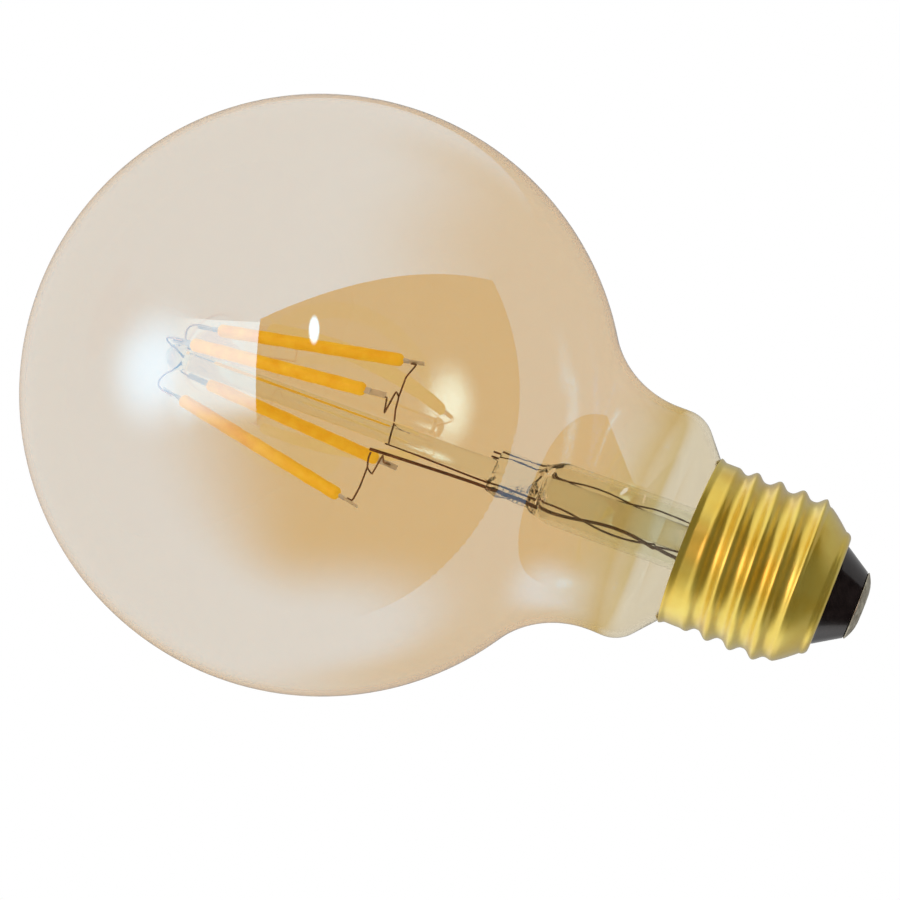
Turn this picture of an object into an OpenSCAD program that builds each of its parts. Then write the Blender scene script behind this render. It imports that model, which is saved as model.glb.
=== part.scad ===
// Smart LED filament lamp: amber glass globe, screw cap, filament mount on a glass stem,
// and a driver board with a radio module inside the cap.
// The centre contact's outer face is at z = 0 and the lamp's axis is +Z, globe up.

/* [Glass globe] */
// Outside diameter of the globe
globe_d = 95; // [76:1:125]
// Thickness of the blown glass
glass_wall = 0.8; // [0.5:0.05:1.2]
// Outside diameter of the straight neck
neck_d = 36.6; // [31:0.2:46]
// Height of the straight neck
neck_straight = 1.8; // [0.5:0.1:12]
// Radius of the sweep from the neck into the globe
neck_sweep_r = 16; // [8:0.5:24]
// Radius of the shoulder below the neck
shoulder_r = 5.2; // [3:0.1:7]
// Slope of the shoulder's taper, in degrees from the axis
shoulder_angle = 50; // [35:1:65]

/* [Screw cap] */
// Crest diameter of the cap's thread
thread_d = 26.3; // [21.9:0.1:40]
// Depth of the thread, from crest to root
thread_depth = 1.05; // [0.6:0.05:1.4]
// Rise of the thread in one turn
thread_pitch = 3.629; // [3:0.001:4.5]
// Height of the cap, from the contact to the rim
cap_height = 27; // [24:0.5:34]
// Thickness of the brass sheet, measured across the axis
shell_wall = 0.35; // [0.25:0.05:0.5]
// Height of the plain skirt above the thread
skirt_height = 3.2; // [2.5:0.1:6]
// How far the rim flares past the skirt
rim_flare = 0.4; // [0.1:0.05:0.8]
// Height of the sloped bottom of the shell
shell_slope_height = 4.2; // [3:0.1:6]

/* [Contact end] */
// Diameter of the centre contact
contact_d = 10.4; // [8:0.1:13]
// Height of the centre contact's dome
contact_height = 1.15; // [0.8:0.05:2]
// Diameter of the contact's flat centre
contact_flat_d = 3.8; // [3:0.1:6]
// Diameter of the contact's hollow shank
shank_d = 3.2; // [2.6:0.1:4]
// Height of the insulator's cone below the shell
insulator_height = 4; // [3:0.1:6]
// Opening in the shell's bottom lip
lip_opening_d = 15.8; // [14:0.1:18]
// Height of the insulator inside the shell
insulator_rise = 1.4; // [1:0.1:2.4]

/* [Glass stem] */
// Depth of the glass neck inside the cap
neck_insert = 7; // [5:0.5:9]
// Outside diameter of the stem's flare tube
flare_d = 10; // [9.4:0.1:13]
// Outside diameter of the exhaust tube
exhaust_d = 4.2; // [3.2:0.1:4.4]
// Height of the pinch's top above the cap's rim
pinch_top_height = 32; // [26:0.5:40]
// Width of the flat pinch
pinch_width = 9; // [8.6:0.1:12]
// Thickness of the flat pinch
pinch_thickness = 3; // [2.4:0.1:4.5]
// Height of the flat pinch above the flare tube's dome
pinch_height = 5; // [3:0.5:8]
// Diameter of the glass pillar
pillar_d = 3.4; // [2.8:0.1:4.4]
// Length of the glass pillar
pillar_length = 53.3; // [50:0.5:58]
// Diameter of the bead on the pillar
bead_d = 4.4; // [4:0.1:6]
// Lean of the stem to the side, in degrees
stem_lean_side = 1.6; // [0:0.1:2]
// Lean of the stem to the front, in degrees
stem_lean_front = 2.5; // [0:0.1:3]

/* [Filaments] */
// Length of a filament's phosphor coat
filament_length = 31.6; // [28:0.1:34]
// Diameter of a filament's phosphor coat
filament_d = 2.1; // [1.8:0.1:2.6]
// Distance of the lower filament ends from the stem's axis
cage_low_r = 12.7; // [10:0.1:16]
// Distance of the upper filament ends from the stem's axis
cage_high_r = 6.7; // [5.5:0.1:10]
// Height of the lower filament ends above the pinch
cage_height = 20.3; // [17:0.1:24]
// Turn of the first filament about the axis, in degrees
cage_turn = 22.3; // [0:0.1:90]
// Width of a filament's ceramic strip
strip_width = 0.9; // [0.7:0.05:1.1]
// Thickness of a filament's ceramic strip
strip_thickness = 0.4; // [0.3:0.05:0.5]
// Number of chips on a strip
chips_per_strip = 22; // [12:1:24]
// Length of a filament's end tab
tab_length = 2.45; // [2:0.05:3]
// Width of a filament's end tab
tab_width = 0.9; // [0.8:0.1:1.6]

/* [Wires] */
// Diameter of the heavy lead wire
heavy_lead_d = 0.5; // [0.4:0.05:0.8]
// Diameter of the other lead wires
lead_d = 0.3; // [0.25:0.05:0.5]
// Diameter of the support wires
support_d = 0.3; // [0.25:0.05:0.5]
// Height of the two cut-off lead wires above the pinch
stub_height = 1.4; // [0.6:0.1:4]

/* [Driver] */
// Thickness of the driver board
board_thickness = 1; // [0.8:0.1:1.2]
// Turn of the driver board and the pinch about the axis, in degrees
board_turn = 40; // [0:1:90]
// Thickness of the insulating sleeve
sleeve_wall = 0.4; // [0.2:0.05:0.6]
// Diameter of the smoothing capacitor
capacitor_d = 5; // [4:0.1:5.4]
// Length of the smoothing capacitor
capacitor_length = 8; // [6:0.1:8.4]
// Diameter of the filter inductor
inductor_d = 5; // [4:0.1:5.4]
// Height of the filter inductor
inductor_height = 4.4; // [3.4:0.1:4.8]
// Width of the radio module
module_width = 9.6; // [8:0.1:10]
// Height of the radio module
module_height = 9.4; // [8:0.1:9.8]

/* [Hidden] */

$fn = 48;
seat_gap = 0.05;   // between two pieces that rest on each other
slip_gap = 0.1;    // round a piece that slides into another
wire_gap = 0.12;   // round a wire in its bore
wire_sides = 8;

// Heights in the cap, from the contact's face up
insulator_z = contact_height + seat_gap;
lip_z = insulator_z + insulator_height;
thread_low_z = lip_z + shell_slope_height;
thread_high_z = cap_height - skirt_height;
neck_low_z = cap_height - neck_insert;
insulator_top_z = lip_z + shell_wall + insulator_rise;

// Radii in the cap
crest_r = thread_d / 2;
root_r = crest_r - thread_depth;
mean_r = (crest_r + root_r) / 2;
skirt_r = mean_r + 0.25;
lip_outer_r = root_r - 2.5;
shell_bore_r = root_r - shell_wall;
sleeve_r = shell_bore_r - slip_gap - seat_gap;
sleeve_bore_r = sleeve_r - sleeve_wall;
neck_tube_r = shell_bore_r - 0.45;
flare_rim_r = neck_tube_r - glass_wall - slip_gap;

// Heights of the globe's outline
neck_r = neck_d / 2;
globe_r = globe_d / 2;
foot_r = 1.5;      // radius of the sweep from the shoulder's taper into the cap
rim_bore_r = skirt_r + rim_flare - shell_wall;
foot_z = cap_height - foot_r * sin(shoulder_angle)
    - (rim_bore_r - 0.12 - neck_tube_r - foot_r * (1 - cos(shoulder_angle))) / tan(shoulder_angle);
taper_run = neck_r - neck_tube_r - (shoulder_r + foot_r) * (1 - cos(shoulder_angle));
shoulder_z = foot_z + (shoulder_r + foot_r) * sin(shoulder_angle)
    + taper_run / tan(shoulder_angle);
sweep_z = shoulder_z + neck_straight;
sweep_x = neck_r + neck_sweep_r;
globe_z = sweep_z + sqrt(pow(globe_r + neck_sweep_r, 2) - pow(sweep_x, 2));
lamp_length = globe_z + globe_r;

// Stem, in its own upright frame
flare_r = flare_d / 2;
flare_bore_r = flare_r - glass_wall;
trumpet_r = flare_rim_r - flare_r;
trumpet_z = neck_low_z + trumpet_r;
pinch_z = cap_height + pinch_top_height;
dome_r = flare_r - 1.4;
dome_z = pinch_z - pinch_height - dome_r;
hollow_top_z = dome_z + 1.9;
exhaust_r = exhaust_d / 2;
exhaust_wall = 0.6;
exhaust_tip_z = neck_low_z + 4.2;
vent_r = 0.7;
vent_z = pinch_z - pinch_height + 1.5;
pillar_r = pillar_d / 2;
pillar_top_z = pinch_z + pillar_length;
bead_r = bead_d / 2;
bead_z = pillar_top_z + sqrt(pow(bead_r, 2) - pow(pillar_r, 2));
hook_turn = -35;   // direction in which the hook wire crosses the pillar
link_z = pinch_z + cage_height - 2.2;
hook_z = link_z - 0.9;

// Leads: each pair twists about a line at this distance from the stem's axis
pair_r = (exhaust_r + flare_bore_r) / 2;
pair_half = 0.5;
twist = 450;       // turn of a pair between the pinch and the board, in degrees

// Filaments
filament_r = filament_d / 2;
cage_cone = asin((cage_low_r - cage_high_r) / filament_length);
cage_low_z = pinch_z + cage_height;
chip_size = [0.6, 0.15, 0.35];
tab_thickness = 0.25;
strip_overhang = 0.6;
tab_start = strip_overhang + seat_gap;
filament_turns = [for (i = [0 : 3]) cage_turn + 90 * i];

// Driver board
board_half = sleeve_bore_r - 0.3;
board_low_z = insulator_top_z + 1.9;
board_high_z = neck_low_z - flare_rim_r * sin(norm([stem_lean_side, stem_lean_front])) - slip_gap;
board_tab_half = flare_bore_r + 0.2;
board_tab_z = neck_low_z + 2.2;
board_face = board_thickness / 2;
part_gap = 0.02;   // under a part soldered to the board

// ---- Outlines and sweeps ----

// Points of a circular arc, every few degrees
function arc(x, y, r, from, to, step = 4) =
    let (n = max(2, ceil(abs(to - from) / step)))
    [for (i = [0 : n]) let (a = from + (to - from) * i / n) [x + r * cos(a), y + r * sin(a)]];

function reversed(p) = [for (i = [len(p) - 1 : -1 : 0]) p[i]];
function unit(v) = v / norm(v);
function eased(t) = let (s = min(1, max(0, t))) s * s * (3 - 2 * s);
function polar(r, turn, z) = [r * cos(turn), r * sin(turn), z];

// A smooth curve through the points p, with n steps between each two
function curve(p, n) = [
    for (i = [0 : len(p) - 2])
        for (k = [0 : n - 1])
            let (t = k / n, a = p[max(i - 1, 0)], b = p[i], c = p[i + 1],
                 d = p[min(i + 2, len(p) - 1)])
            0.5 * (2 * b + (c - a) * t + (2 * a - 5 * b + 4 * c - d) * t * t
                + (3 * b - a - 3 * c + d) * t * t * t),
    p[len(p) - 1]
];

// The points p with each corner cut by two points at distance e from it
function kinked(p, e = 0.3) = [
    p[0],
    for (i = [1 : len(p) - 2])
        let (a = p[i] + e * unit(p[i - 1] - p[i]), b = p[i] + e * unit(p[i + 1] - p[i]))
        each [a, (a + b + 2 * p[i]) / 4, b],
    p[len(p) - 1]
];

function heading(p, i) = unit(p[min(i + 1, len(p) - 1)] - p[max(i - 1, 0)]);
function squared(v, along) = unit(v - (v * along) * along);

// A direction across the path at each point, carried along without twist
function across(p) =
    let (h = heading(p, 0), side = abs(h.x) < 0.8 ? [1, 0, 0] : [0, 1, 0])
    [for (i = 0, v = squared(side, h); i < len(p);
          v = squared(v, heading(p, min(i + 1, len(p) - 1))), i = i + 1) v];

// A round wire of diameter d along the points p
module wire(p, d) {
    v = across(p);
    s = wire_sides;
    last = len(p) - 1;
    polyhedron(
        points = [
            for (i = [0 : last])
                for (j = [0 : s - 1])
                    let (a = 360 * j / s, h = heading(p, i))
                    p[i] + d / 2 * (cos(a) * v[i] + sin(a) * cross(h, v[i]))
        ],
        faces = [
            for (i = [0 : last - 1])
                for (j = [0 : s - 1])
                    let (k = (j + 1) % s)
                    each [
                        [i * s + j, (i + 1) * s + j, (i + 1) * s + k],
                        [i * s + j, (i + 1) * s + k, i * s + k]
                    ],
            [for (j = [0 : s - 1]) j],
            [for (j = [s - 1 : -1 : 0]) last * s + j]
        ]
    );
}

module revolved(outline) {
    rotate_extrude($fn = 96) polygon(outline);
}

// The stem leans about the centre of its seal with the neck
module on_stem() {
    translate([0, 0, neck_low_z])
        rotate([stem_lean_front, -stem_lean_side, 0])
            translate([0, 0, -neck_low_z])
                children();
}

// The same lean for a point
function leaned(p) =
    let (a = stem_lean_front, b = -stem_lean_side, h = p.z - neck_low_z,
         y = p.y * cos(a) - h * sin(a), z = p.y * sin(a) + h * cos(a))
    [p.x * cos(b) + z * sin(b), y, -p.x * sin(b) + z * cos(b) + neck_low_z];

function all_leaned(points) = [for (p = points) leaned(p)];

// ---- Glass globe ----

// Outline of the globe and neck, inset by t from the outside
function globe_outline(t) =
    let (meet = atan2(globe_z - sweep_z, sweep_x))
    concat(
        arc(0, globe_z, globe_r - t, 90, -meet),
        arc(sweep_x, sweep_z, neck_sweep_r + t, 180 - meet, 180),
        arc(neck_r - shoulder_r, shoulder_z, shoulder_r - t, 0, -shoulder_angle),
        arc(neck_tube_r + foot_r, foot_z, foot_r + t, 180 - shoulder_angle, 180, 10),
        [[neck_tube_r - t, neck_low_z]]
    );

module glass_globe() {
    color([0.93, 0.78, 0.50, 0.4])
        revolved(concat(globe_outline(0), reversed(globe_outline(glass_wall))));
}

// ---- Screw cap ----

// How much of the thread's depth is formed at height z
function thread_share(z) =
    eased((z - thread_low_z) / 1.1) * eased((thread_high_z + 0.7 - z) / 2.4);

// Rounded ridge with a wider valley, from -1 in the valley to 1 on the crest
function ridge(phase) = 2 * pow((1 + cos(phase)) / 2, 1.35) - 1;

// Outside radius of the shell above its sloped bottom
function shell_r(z, turn) =
    mean_r + (skirt_r - mean_r) * eased((z - thread_high_z + 1) / 1.4)
    + rim_flare * eased((z - cap_height + 0.9) / 0.9)
    + thread_depth / 2 * thread_share(z)
        * ridge(360 * (z - thread_low_z - 1) / thread_pitch - turn)
    - (mean_r - root_r) * (1 - eased((z - thread_low_z) / 1.1)) * 0.8;

shell_turns = 48;
shell_rows = round(8 * (thread_high_z + 0.8 - thread_low_z) / thread_pitch);

// One wall of the shell at one turn, from the rim down to the lip, inset by t
function shell_wall_line(turn, t) =
    let (top = thread_high_z + 0.8, low = thread_low_z,
         slope_top_r = shell_r(low, 0) - t)
    concat(
        [for (z = [cap_height, cap_height - 0.3, cap_height - 0.9, (cap_height + top) / 2 - 0.2])
            [shell_r(z, turn) - t, z]],
        [for (i = [0 : shell_rows])
            let (z = top - (top - low) * i / shell_rows) [shell_r(z, turn) - t, z]],
        [for (i = [1 : 3])
            let (s = i / 3, z = low - (low - lip_z - 0.55) * s)
            [slope_top_r + (lip_outer_r - t - slope_top_r) * pow(s, 1.15), z]],
        [[lip_outer_r - 0.5 - t / 2, lip_z + t], [lip_opening_d / 2, lip_z + t]]
    );

module screw_shell() {
    outer = len(shell_wall_line(0, 0));
    m = 2 * outer;
    color([0.80, 0.66, 0.24])
        polyhedron(
            points = [
                for (k = [0 : shell_turns - 1])
                    let (turn = 360 * k / shell_turns)
                    for (q = concat(shell_wall_line(turn, 0),
                                    reversed(shell_wall_line(turn, shell_wall))))
                        [q.x * cos(turn), q.x * sin(turn), q.y]
            ],
            faces = [
                for (k = [0 : shell_turns - 1])
                    for (i = [0 : m - 1])
                        let (k2 = (k + 1) % shell_turns, i2 = (i + 1) % m)
                        each [
                            [k * m + i, k2 * m + i, k2 * m + i2],
                            [k * m + i, k2 * m + i2, k * m + i2]
                        ]
            ]
        );
}

// Inside radius of the shell's sloped bottom at height z, a little under the true one
function slope_bore_r(z) =
    lip_outer_r - shell_wall + (root_r - lip_outer_r) * 0.9
        * (z - lip_z - 0.55) / (thread_low_z - lip_z - 0.55) - slip_gap;

module base_insulator() {
    bore_r = shank_d / 2 + seat_gap;
    throat_r = lip_opening_d / 2 - slip_gap;
    seat_z = lip_z + shell_wall + seat_gap;
    color([0.09, 0.08, 0.08])
        revolved([
            [bore_r, insulator_z], [contact_d / 2 + 0.05, insulator_z],
            [throat_r, lip_z], [throat_r, seat_z],
            [lip_outer_r - shell_wall - 0.7, seat_z],
            [slope_bore_r(seat_z + 0.4), seat_z + 0.4],
            [slope_bore_r(insulator_top_z), insulator_top_z],
            [throat_r - 0.6, insulator_top_z],
            [bore_r + 1.4, insulator_z + 3], [bore_r, insulator_z + 3]
        ]);
}

module centre_contact() {
    shank_r = shank_d / 2;
    flat_r = contact_flat_d / 2;
    rim_r = contact_d / 2;
    bulge = contact_height;
    color([0.70, 0.69, 0.66])
        revolved([
            [0, 0], [flat_r, 0],
            [flat_r + (rim_r - flat_r) * 0.35, bulge * 0.12],
            [flat_r + (rim_r - flat_r) * 0.70, bulge * 0.42],
            [flat_r + (rim_r - flat_r) * 0.92, bulge * 0.76],
            [rim_r, bulge], [shank_r, bulge], [shank_r, insulator_z + 2.2],
            [shank_r - 0.5, insulator_z + 2.2], [shank_r - 0.5, 0.6], [0, 0.6]
        ]);
}

module contact_solder() {
    color([0.78, 0.78, 0.76])
        translate([0, 0, 0.6 + part_gap])
            difference() {
                cylinder(r = shank_d / 2 - 0.5 - part_gap, h = 2);
                translate([0, 0, 0.4]) cylinder(r = lead_d / 2 + part_gap * 2, h = 2);
            }
}

module neck_cement() {
    inner_r = neck_tube_r + seat_gap;
    top_z = cap_height - 0.9;
    color([0.86, 0.84, 0.78])
        revolved([
            [inner_r, neck_low_z + 0.6], [shell_bore_r - 0.1, neck_low_z + 0.6],
            [shell_bore_r - 0.1, thread_high_z - 0.2],
            [skirt_r - shell_wall - slip_gap, thread_high_z + 0.7],
            [skirt_r - shell_wall - slip_gap, foot_z + 1.1],
            [neck_tube_r + 0.75, foot_z + 1.1],
            [neck_tube_r + 0.2, foot_z + 0.4], [inner_r, foot_z]
        ]);
}

// ---- Glass stem ----

module stem_glass() {
    revolved(concat(
        [[0, neck_low_z], [flare_rim_r, neck_low_z]],
        arc(flare_rim_r, trumpet_z + glass_wall, trumpet_r, 270, 180, 9),
        arc(flare_r - dome_r, dome_z, dome_r, 0, 90, 9),
        [[0, dome_z + dome_r]]
    ));
    translate([0, 0, dome_z + 0.4])
        rotate([0, 0, board_turn])
            linear_extrude(height = pinch_z - dome_z - 0.4) {
                end_r = pinch_thickness / 2;
                square([pinch_width - pinch_thickness, pinch_thickness], center = true);
                for (side = [-1, 1])
                    translate([side * (pinch_width / 2 - end_r), 0]) circle(end_r);
            }
}

module stem_hollow() {
    revolved(concat(
        [[0, neck_low_z - 1], [flare_rim_r - glass_wall / 2, neck_low_z - 1]],
        [for (q = arc(flare_rim_r, trumpet_z + glass_wall, trumpet_r + glass_wall, 270, 180, 9))
            if (q.x < flare_rim_r - glass_wall / 2) q],
        arc(flare_bore_r - 0.8, hollow_top_z - 0.8, 0.8, 0, 90, 30),
        [[0, hollow_top_z]]
    ));
}

module stem_flare() {
    color([0.90, 0.93, 0.90, 0.5])
        on_stem()
            difference() {
                stem_glass();
                stem_hollow();
                for (side = [-1, 1], half = [-1, 1])
                    rotate([0, 0, board_turn])
                        translate([side * (pair_r + half * pair_half), 0, hollow_top_z - 1])
                            cylinder(d = (side < 0 && half > 0 ? heavy_lead_d : lead_d)
                                + wire_gap * 2, h = pinch_z - hollow_top_z + 2);
                translate([0, 0, hollow_top_z - 1])
                    cylinder(r = vent_r, h = vent_z - hollow_top_z + 1);
                translate([0, 0, vent_z])
                    rotate([0, 0, board_turn]) rotate([90, 0, 0])
                        cylinder(r = vent_r, h = pinch_thickness + 2, center = true);
            }
}

module exhaust_tube() {
    bore_r = exhaust_r - exhaust_wall;
    color([0.90, 0.93, 0.90, 0.5])
        on_stem()
            revolved(concat(
                [[0, exhaust_tip_z], [0.6, exhaust_tip_z + 0.2]],
                [[exhaust_r * 0.7, exhaust_tip_z + 1.4], [exhaust_r, exhaust_tip_z + 3.4]],
                [[exhaust_r, hollow_top_z - seat_gap], [bore_r, hollow_top_z - seat_gap]],
                [[bore_r, exhaust_tip_z + 4.2], [bore_r * 0.5, exhaust_tip_z + 2.4]],
                [[0, exhaust_tip_z + 1.8]]
            ));
}

module support_pillar() {
    color([0.90, 0.93, 0.90, 0.5])
        on_stem()
            difference() {
                translate([0, 0, pinch_z]) cylinder(r = pillar_r, h = pillar_length);
                translate([0, 0, pinch_z + 2]) cylinder(r = pillar_r * 0.45, h = pillar_length - 4);
                translate([0, 0, hook_z])
                    rotate([0, 0, hook_turn]) rotate([0, 90, 0])
                        cylinder(d = support_d + wire_gap * 2, h = pillar_d + 2, center = true);
            }
}

module pillar_bead() {
    low = asin((bead_z - pillar_top_z) / bead_r);
    color([0.90, 0.93, 0.90, 0.5])
        on_stem()
            difference() {
                revolved(concat(
                    [[0, pillar_top_z]], arc(0, bead_z, bead_r, -low, 90, 8)
                ));
                for (turn = [cage_turn, cage_turn + 90])
                    translate([0, 0, bead_z]) rotate([0, 0, turn]) rotate([0, 90, 0])
                        cylinder(d = support_d + wire_gap * 2, h = bead_d + 2, center = true);
            }
}

// ---- Filaments ----

// Distance from the stem's axis of a filament's centre line at height z
function cage_r(z) = cage_low_r - (z - cage_low_z) * tan(cage_cone);

// Places a filament drawn along +Z from its lower end, its strip facing outwards
module on_filament(turn) {
    on_stem()
        rotate([0, 0, turn])
            translate([cage_low_r, 0, cage_low_z])
                rotate([0, -cage_cone, 0])
                    children();
}

module filament(i) {
    r = filament_r;
    n = filament_length;
    slot = 0.03;
    color([0.96, 0.66, 0.13])
        on_filament(filament_turns[i])
            difference() {
                revolved(concat(
                    [[0, 0]], arc(r - 0.8, 0.8, 0.8, -90, 0, 15),
                    arc(r - 0.8, n - 0.8, 0.8, 0, 90, 15), [[0, n]]
                ));
                translate([-strip_thickness / 2 - slot, -strip_width / 2 - slot, -1])
                    cube([strip_thickness + 2 * slot, strip_width + 2 * slot, n + 2]);
                translate([strip_thickness / 2, -chip_size.x / 2 - slot, -1])
                    cube([chip_size.y + slot + part_gap, chip_size.x + 2 * slot, n + 2]);
            }
}

module filament_strips() {
    color([0.92, 0.92, 0.90])
        for (turn = filament_turns)
            on_filament(turn)
                translate([-strip_thickness / 2, -strip_width / 2, -strip_overhang])
                    cube([strip_thickness, strip_width, filament_length + 2 * strip_overhang]);
}

module filament_chips() {
    margin = 1.4;
    pitch = (filament_length - 2 * margin) / (chips_per_strip - 1);
    color([0.35, 0.45, 0.75])
        for (turn = filament_turns)
            on_filament(turn)
                for (k = [0 : chips_per_strip - 1])
                    translate([strip_thickness / 2 + part_gap / 2, -chip_size.x / 2,
                               margin + pitch * k - chip_size.z / 2])
                        cube([chip_size.y, chip_size.x, chip_size.z]);
}

module filament_end_tabs() {
    color([0.78, 0.76, 0.70])
        for (turn = filament_turns)
            on_filament(turn)
                for (z = [-tab_start - tab_length, filament_length + tab_start])
                    translate([-tab_thickness / 2, -tab_width / 2, z])
                        cube([tab_thickness, tab_width, tab_length]);
}

// ---- Support wires and leads ----

// Centre of a wire that lies against a tab, inside (-1) or outside (1) the cage
function tab_side(turn, z, side) =
    polar(cage_r(z) + side * (tab_thickness / 2 + support_d / 2 + seat_gap) / cos(cage_cone), turn, z);

module top_spider() {
    tip_z = cage_low_z + (filament_length + tab_start + tab_length) * cos(cage_cone);
    function arm(turn) = [
        polar(bead_r + 0.5, turn, bead_z), polar(bead_r + 1.3, turn, bead_z + 0.7),
        polar(cage_high_r - 1.1, turn, bead_z + 1.0),
        tab_side(turn, tip_z + 0.35, 1), tab_side(turn, tip_z - 0.7, 1),
        tab_side(turn, tip_z - 1.7, 1)
    ];
    color([0.45, 0.42, 0.38])
        on_stem()
            for (turn = [cage_turn, cage_turn + 90])
                wire(concat(reversed(curve(arm(turn), 3)), curve(arm(turn + 180), 3)), support_d);
}

// A link joins the lower tabs of two filaments: a plain arm to the first and a zigzag to the other
function tab_end(turn) = [
    tab_side(turn, link_z + 0.3, -1), tab_side(turn, link_z + 1.2, -1)
];

module lower_link_right() {
    hub = polar(5.9, -8, link_z - 0.1);
    color([0.45, 0.42, 0.38])
        on_stem() {
            wire(kinked(concat(
                [hub, polar(9.5, 14, link_z + 0.6)], tab_end(filament_turns[0])
            )), support_d);
            wire(kinked(concat([
                polar(pillar_r + 0.35 + support_d, hook_turn, hook_z),
                polar(3.84, -17, link_z - 0.4), hub, polar(6.7, -17, link_z + 0.3),
                polar(5.2, -60, link_z + 0.3), polar(9, -57, link_z)
            ], tab_end(filament_turns[3]))), support_d);
        }
}

lead_top = polar(3.6, 200, link_z + 1.3);   // upper end of the heavy lead

module lower_link_left() {
    hub = polar(6.3, 181, link_z + 0.95);
    color([0.45, 0.42, 0.38])
        on_stem() {
            wire(kinked(concat(
                [hub, polar(9.9, 196, link_z + 0.4)], tab_end(filament_turns[2])
            )), support_d);
            wire(kinked(concat([
                lead_top + [-heavy_lead_d / 2 - support_d / 2 - part_gap, 0, -0.3],
                polar(4.9, 191, link_z + 1.1), hub, polar(7.5, 161, link_z + 0.5),
                polar(7.05, 122, link_z + 0.7), polar(10, 119, link_z + 0.8)
            ], tab_end(filament_turns[1]))), support_d);
        }
}

module pillar_hook_wire() {
    color([0.45, 0.42, 0.38])
        on_stem()
            wire([for (r = [pillar_r + 0.3, 0, -pillar_r - 0.3]) polar(r, hook_turn, hook_z)],
                 support_d);
}

// Point of a twisted pair's lead: side picks the pair, half the lead in it
function pair_point(side, half, z) =
    let (share = (hollow_top_z - 1.2 - z) / (hollow_top_z - 1.2 - board_tab_z - 1.5),
         a = board_turn, w = (half < 0 ? 180 : 0) + twist * max(0, min(1, share)),
         p = side * pair_r + pair_half * cos(w) * side, q = pair_half * sin(w))
    [p * cos(a) - q * sin(a), p * sin(a) + q * cos(a), z];

// A lead's route: through the pinch, down the flare beside its partner, to a face of the board
function lead_route(side, half, d) =
    let (a = board_turn, face = half * (board_face + d / 2 + part_gap),
         p = side * (pair_r - 0.2),
         foot = [p * cos(a) - face * sin(a), p * sin(a) + face * cos(a)])
    concat(
        all_leaned([for (z = [pinch_z, hollow_top_z + 0.5, hollow_top_z - 1.2])
            pair_point(side, half, z)]),
        all_leaned([for (k = [1 : 10])
            let (top = hollow_top_z - 1.2, low = board_tab_z + 1.5)
            pair_point(side, half, top + (low - top) * k / 10)]),
        [for (z = [board_tab_z + 0.5, board_tab_z - 1.2, board_tab_z - 2.6])
            [foot.x, foot.y, z]]
    );

// Lead 1 carries the left link, lead 2 the right one, and leads 3 and 4 are cut off
module lead_wire_1() {
    d = heavy_lead_d;
    color([0.30, 0.22, 0.18])
        wire(concat(
            all_leaned(curve([
                lead_top, lead_top * 0.5 + pair_point(-1, 1, pinch_z + 4) * 0.5,
                pair_point(-1, 1, pinch_z + 2), pair_point(-1, 1, pinch_z + 0.6)
            ], 4)),
            curve(lead_route(-1, 1, d), 3)
        ), d);
}

module lead_wire_2() {
    top = polar(pillar_r + 0.3 + lead_d / 2 + part_gap, hook_turn + 180, hook_z + 0.8);
    color([0.42, 0.36, 0.30])
        wire(concat(
            all_leaned(curve([
                top, top - [0, 0, 2.2], pair_point(-1, -1, pinch_z + 7) * 0.5 + top * 0.5 - [0, 0, 4],
                pair_point(-1, -1, pinch_z + 2), pair_point(-1, -1, pinch_z + 0.6)
            ], 4)),
            curve(lead_route(-1, -1, lead_d), 3)
        ), lead_d);
}

module cut_lead(half) {
    color([0.42, 0.36, 0.30])
        wire(concat(
            [leaned(pair_point(1, half, pinch_z + stub_height))],
            curve(lead_route(1, half, lead_d), 3)
        ), lead_d);
}

// ---- Driver in the cap ----

// Board frame: x along the board, y out of its front face, z up
module on_board() {
    rotate([0, 0, board_turn]) children();
}

module insulating_sleeve() {
    low = thread_low_z + 0.2;
    color([0.93, 0.90, 0.80])
        difference() {
            translate([0, 0, low]) cylinder(r = sleeve_r, h = board_high_z - low + 0.2, $fn = 96);
            translate([0, 0, low - 1]) cylinder(r = sleeve_bore_r, h = cap_height, $fn = 96);
            on_board()
                translate([0, shell_wire_y, shell_wire_z]) rotate([0, 90, 0])
                    cylinder(d = lead_d + 0.4, h = thread_d);
        }
}

module driver_board() {
    hole_r = 0.35;
    color([0.12, 0.38, 0.22])
        on_board()
            difference() {
                union() {
                    translate([-board_half, -board_face, board_low_z])
                        cube([2 * board_half, board_thickness, board_high_z - board_low_z]);
                    translate([-board_tab_half, -board_face, board_high_z - 1])
                        cube([2 * board_tab_half, board_thickness, board_tab_z - board_high_z + 1]);
                }
                for (x = module_pin_x)
                    translate([x, 0, module_pin_z]) rotate([90, 0, 0])
                        cylinder(r = hole_r, h = board_thickness + 2, center = true);
            }
}

front_y = -board_face - part_gap;   // seat of a part on the front face
back_y = board_face + part_gap;     // seat of a part on the back face
low_part_z = board_low_z + 1.9;
capacitor_z = low_part_z + capacitor_d / 2;
capacitor_x = -board_half + 2.2;
capacitor_y = front_y - capacitor_d / 2;
inductor_x = board_half - 2.1 - inductor_d / 2;
inductor_z = low_part_z + inductor_d / 2;
upper_part_z = low_part_z + max(capacitor_d, inductor_d) + 0.5;
shell_wire_z = board_high_z - 2.2;
shell_wire_y = board_face + lead_d / 2 + part_gap;

module smoothing_capacitor() {
    r = capacitor_d / 2;
    n = capacitor_length;
    color([0.16, 0.20, 0.30])
        on_board()
            translate([capacitor_x, capacitor_y, capacitor_z])
                rotate([0, 90, 0])
                    revolved([[0, 0], [r - 0.3, 0], [r, 0.3], [r, n - 1.4], [r - 0.25, n - 1.1],
                              [r, n - 0.8], [r, n - 0.2], [r - 0.3, n], [0, n]]);
}

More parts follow.
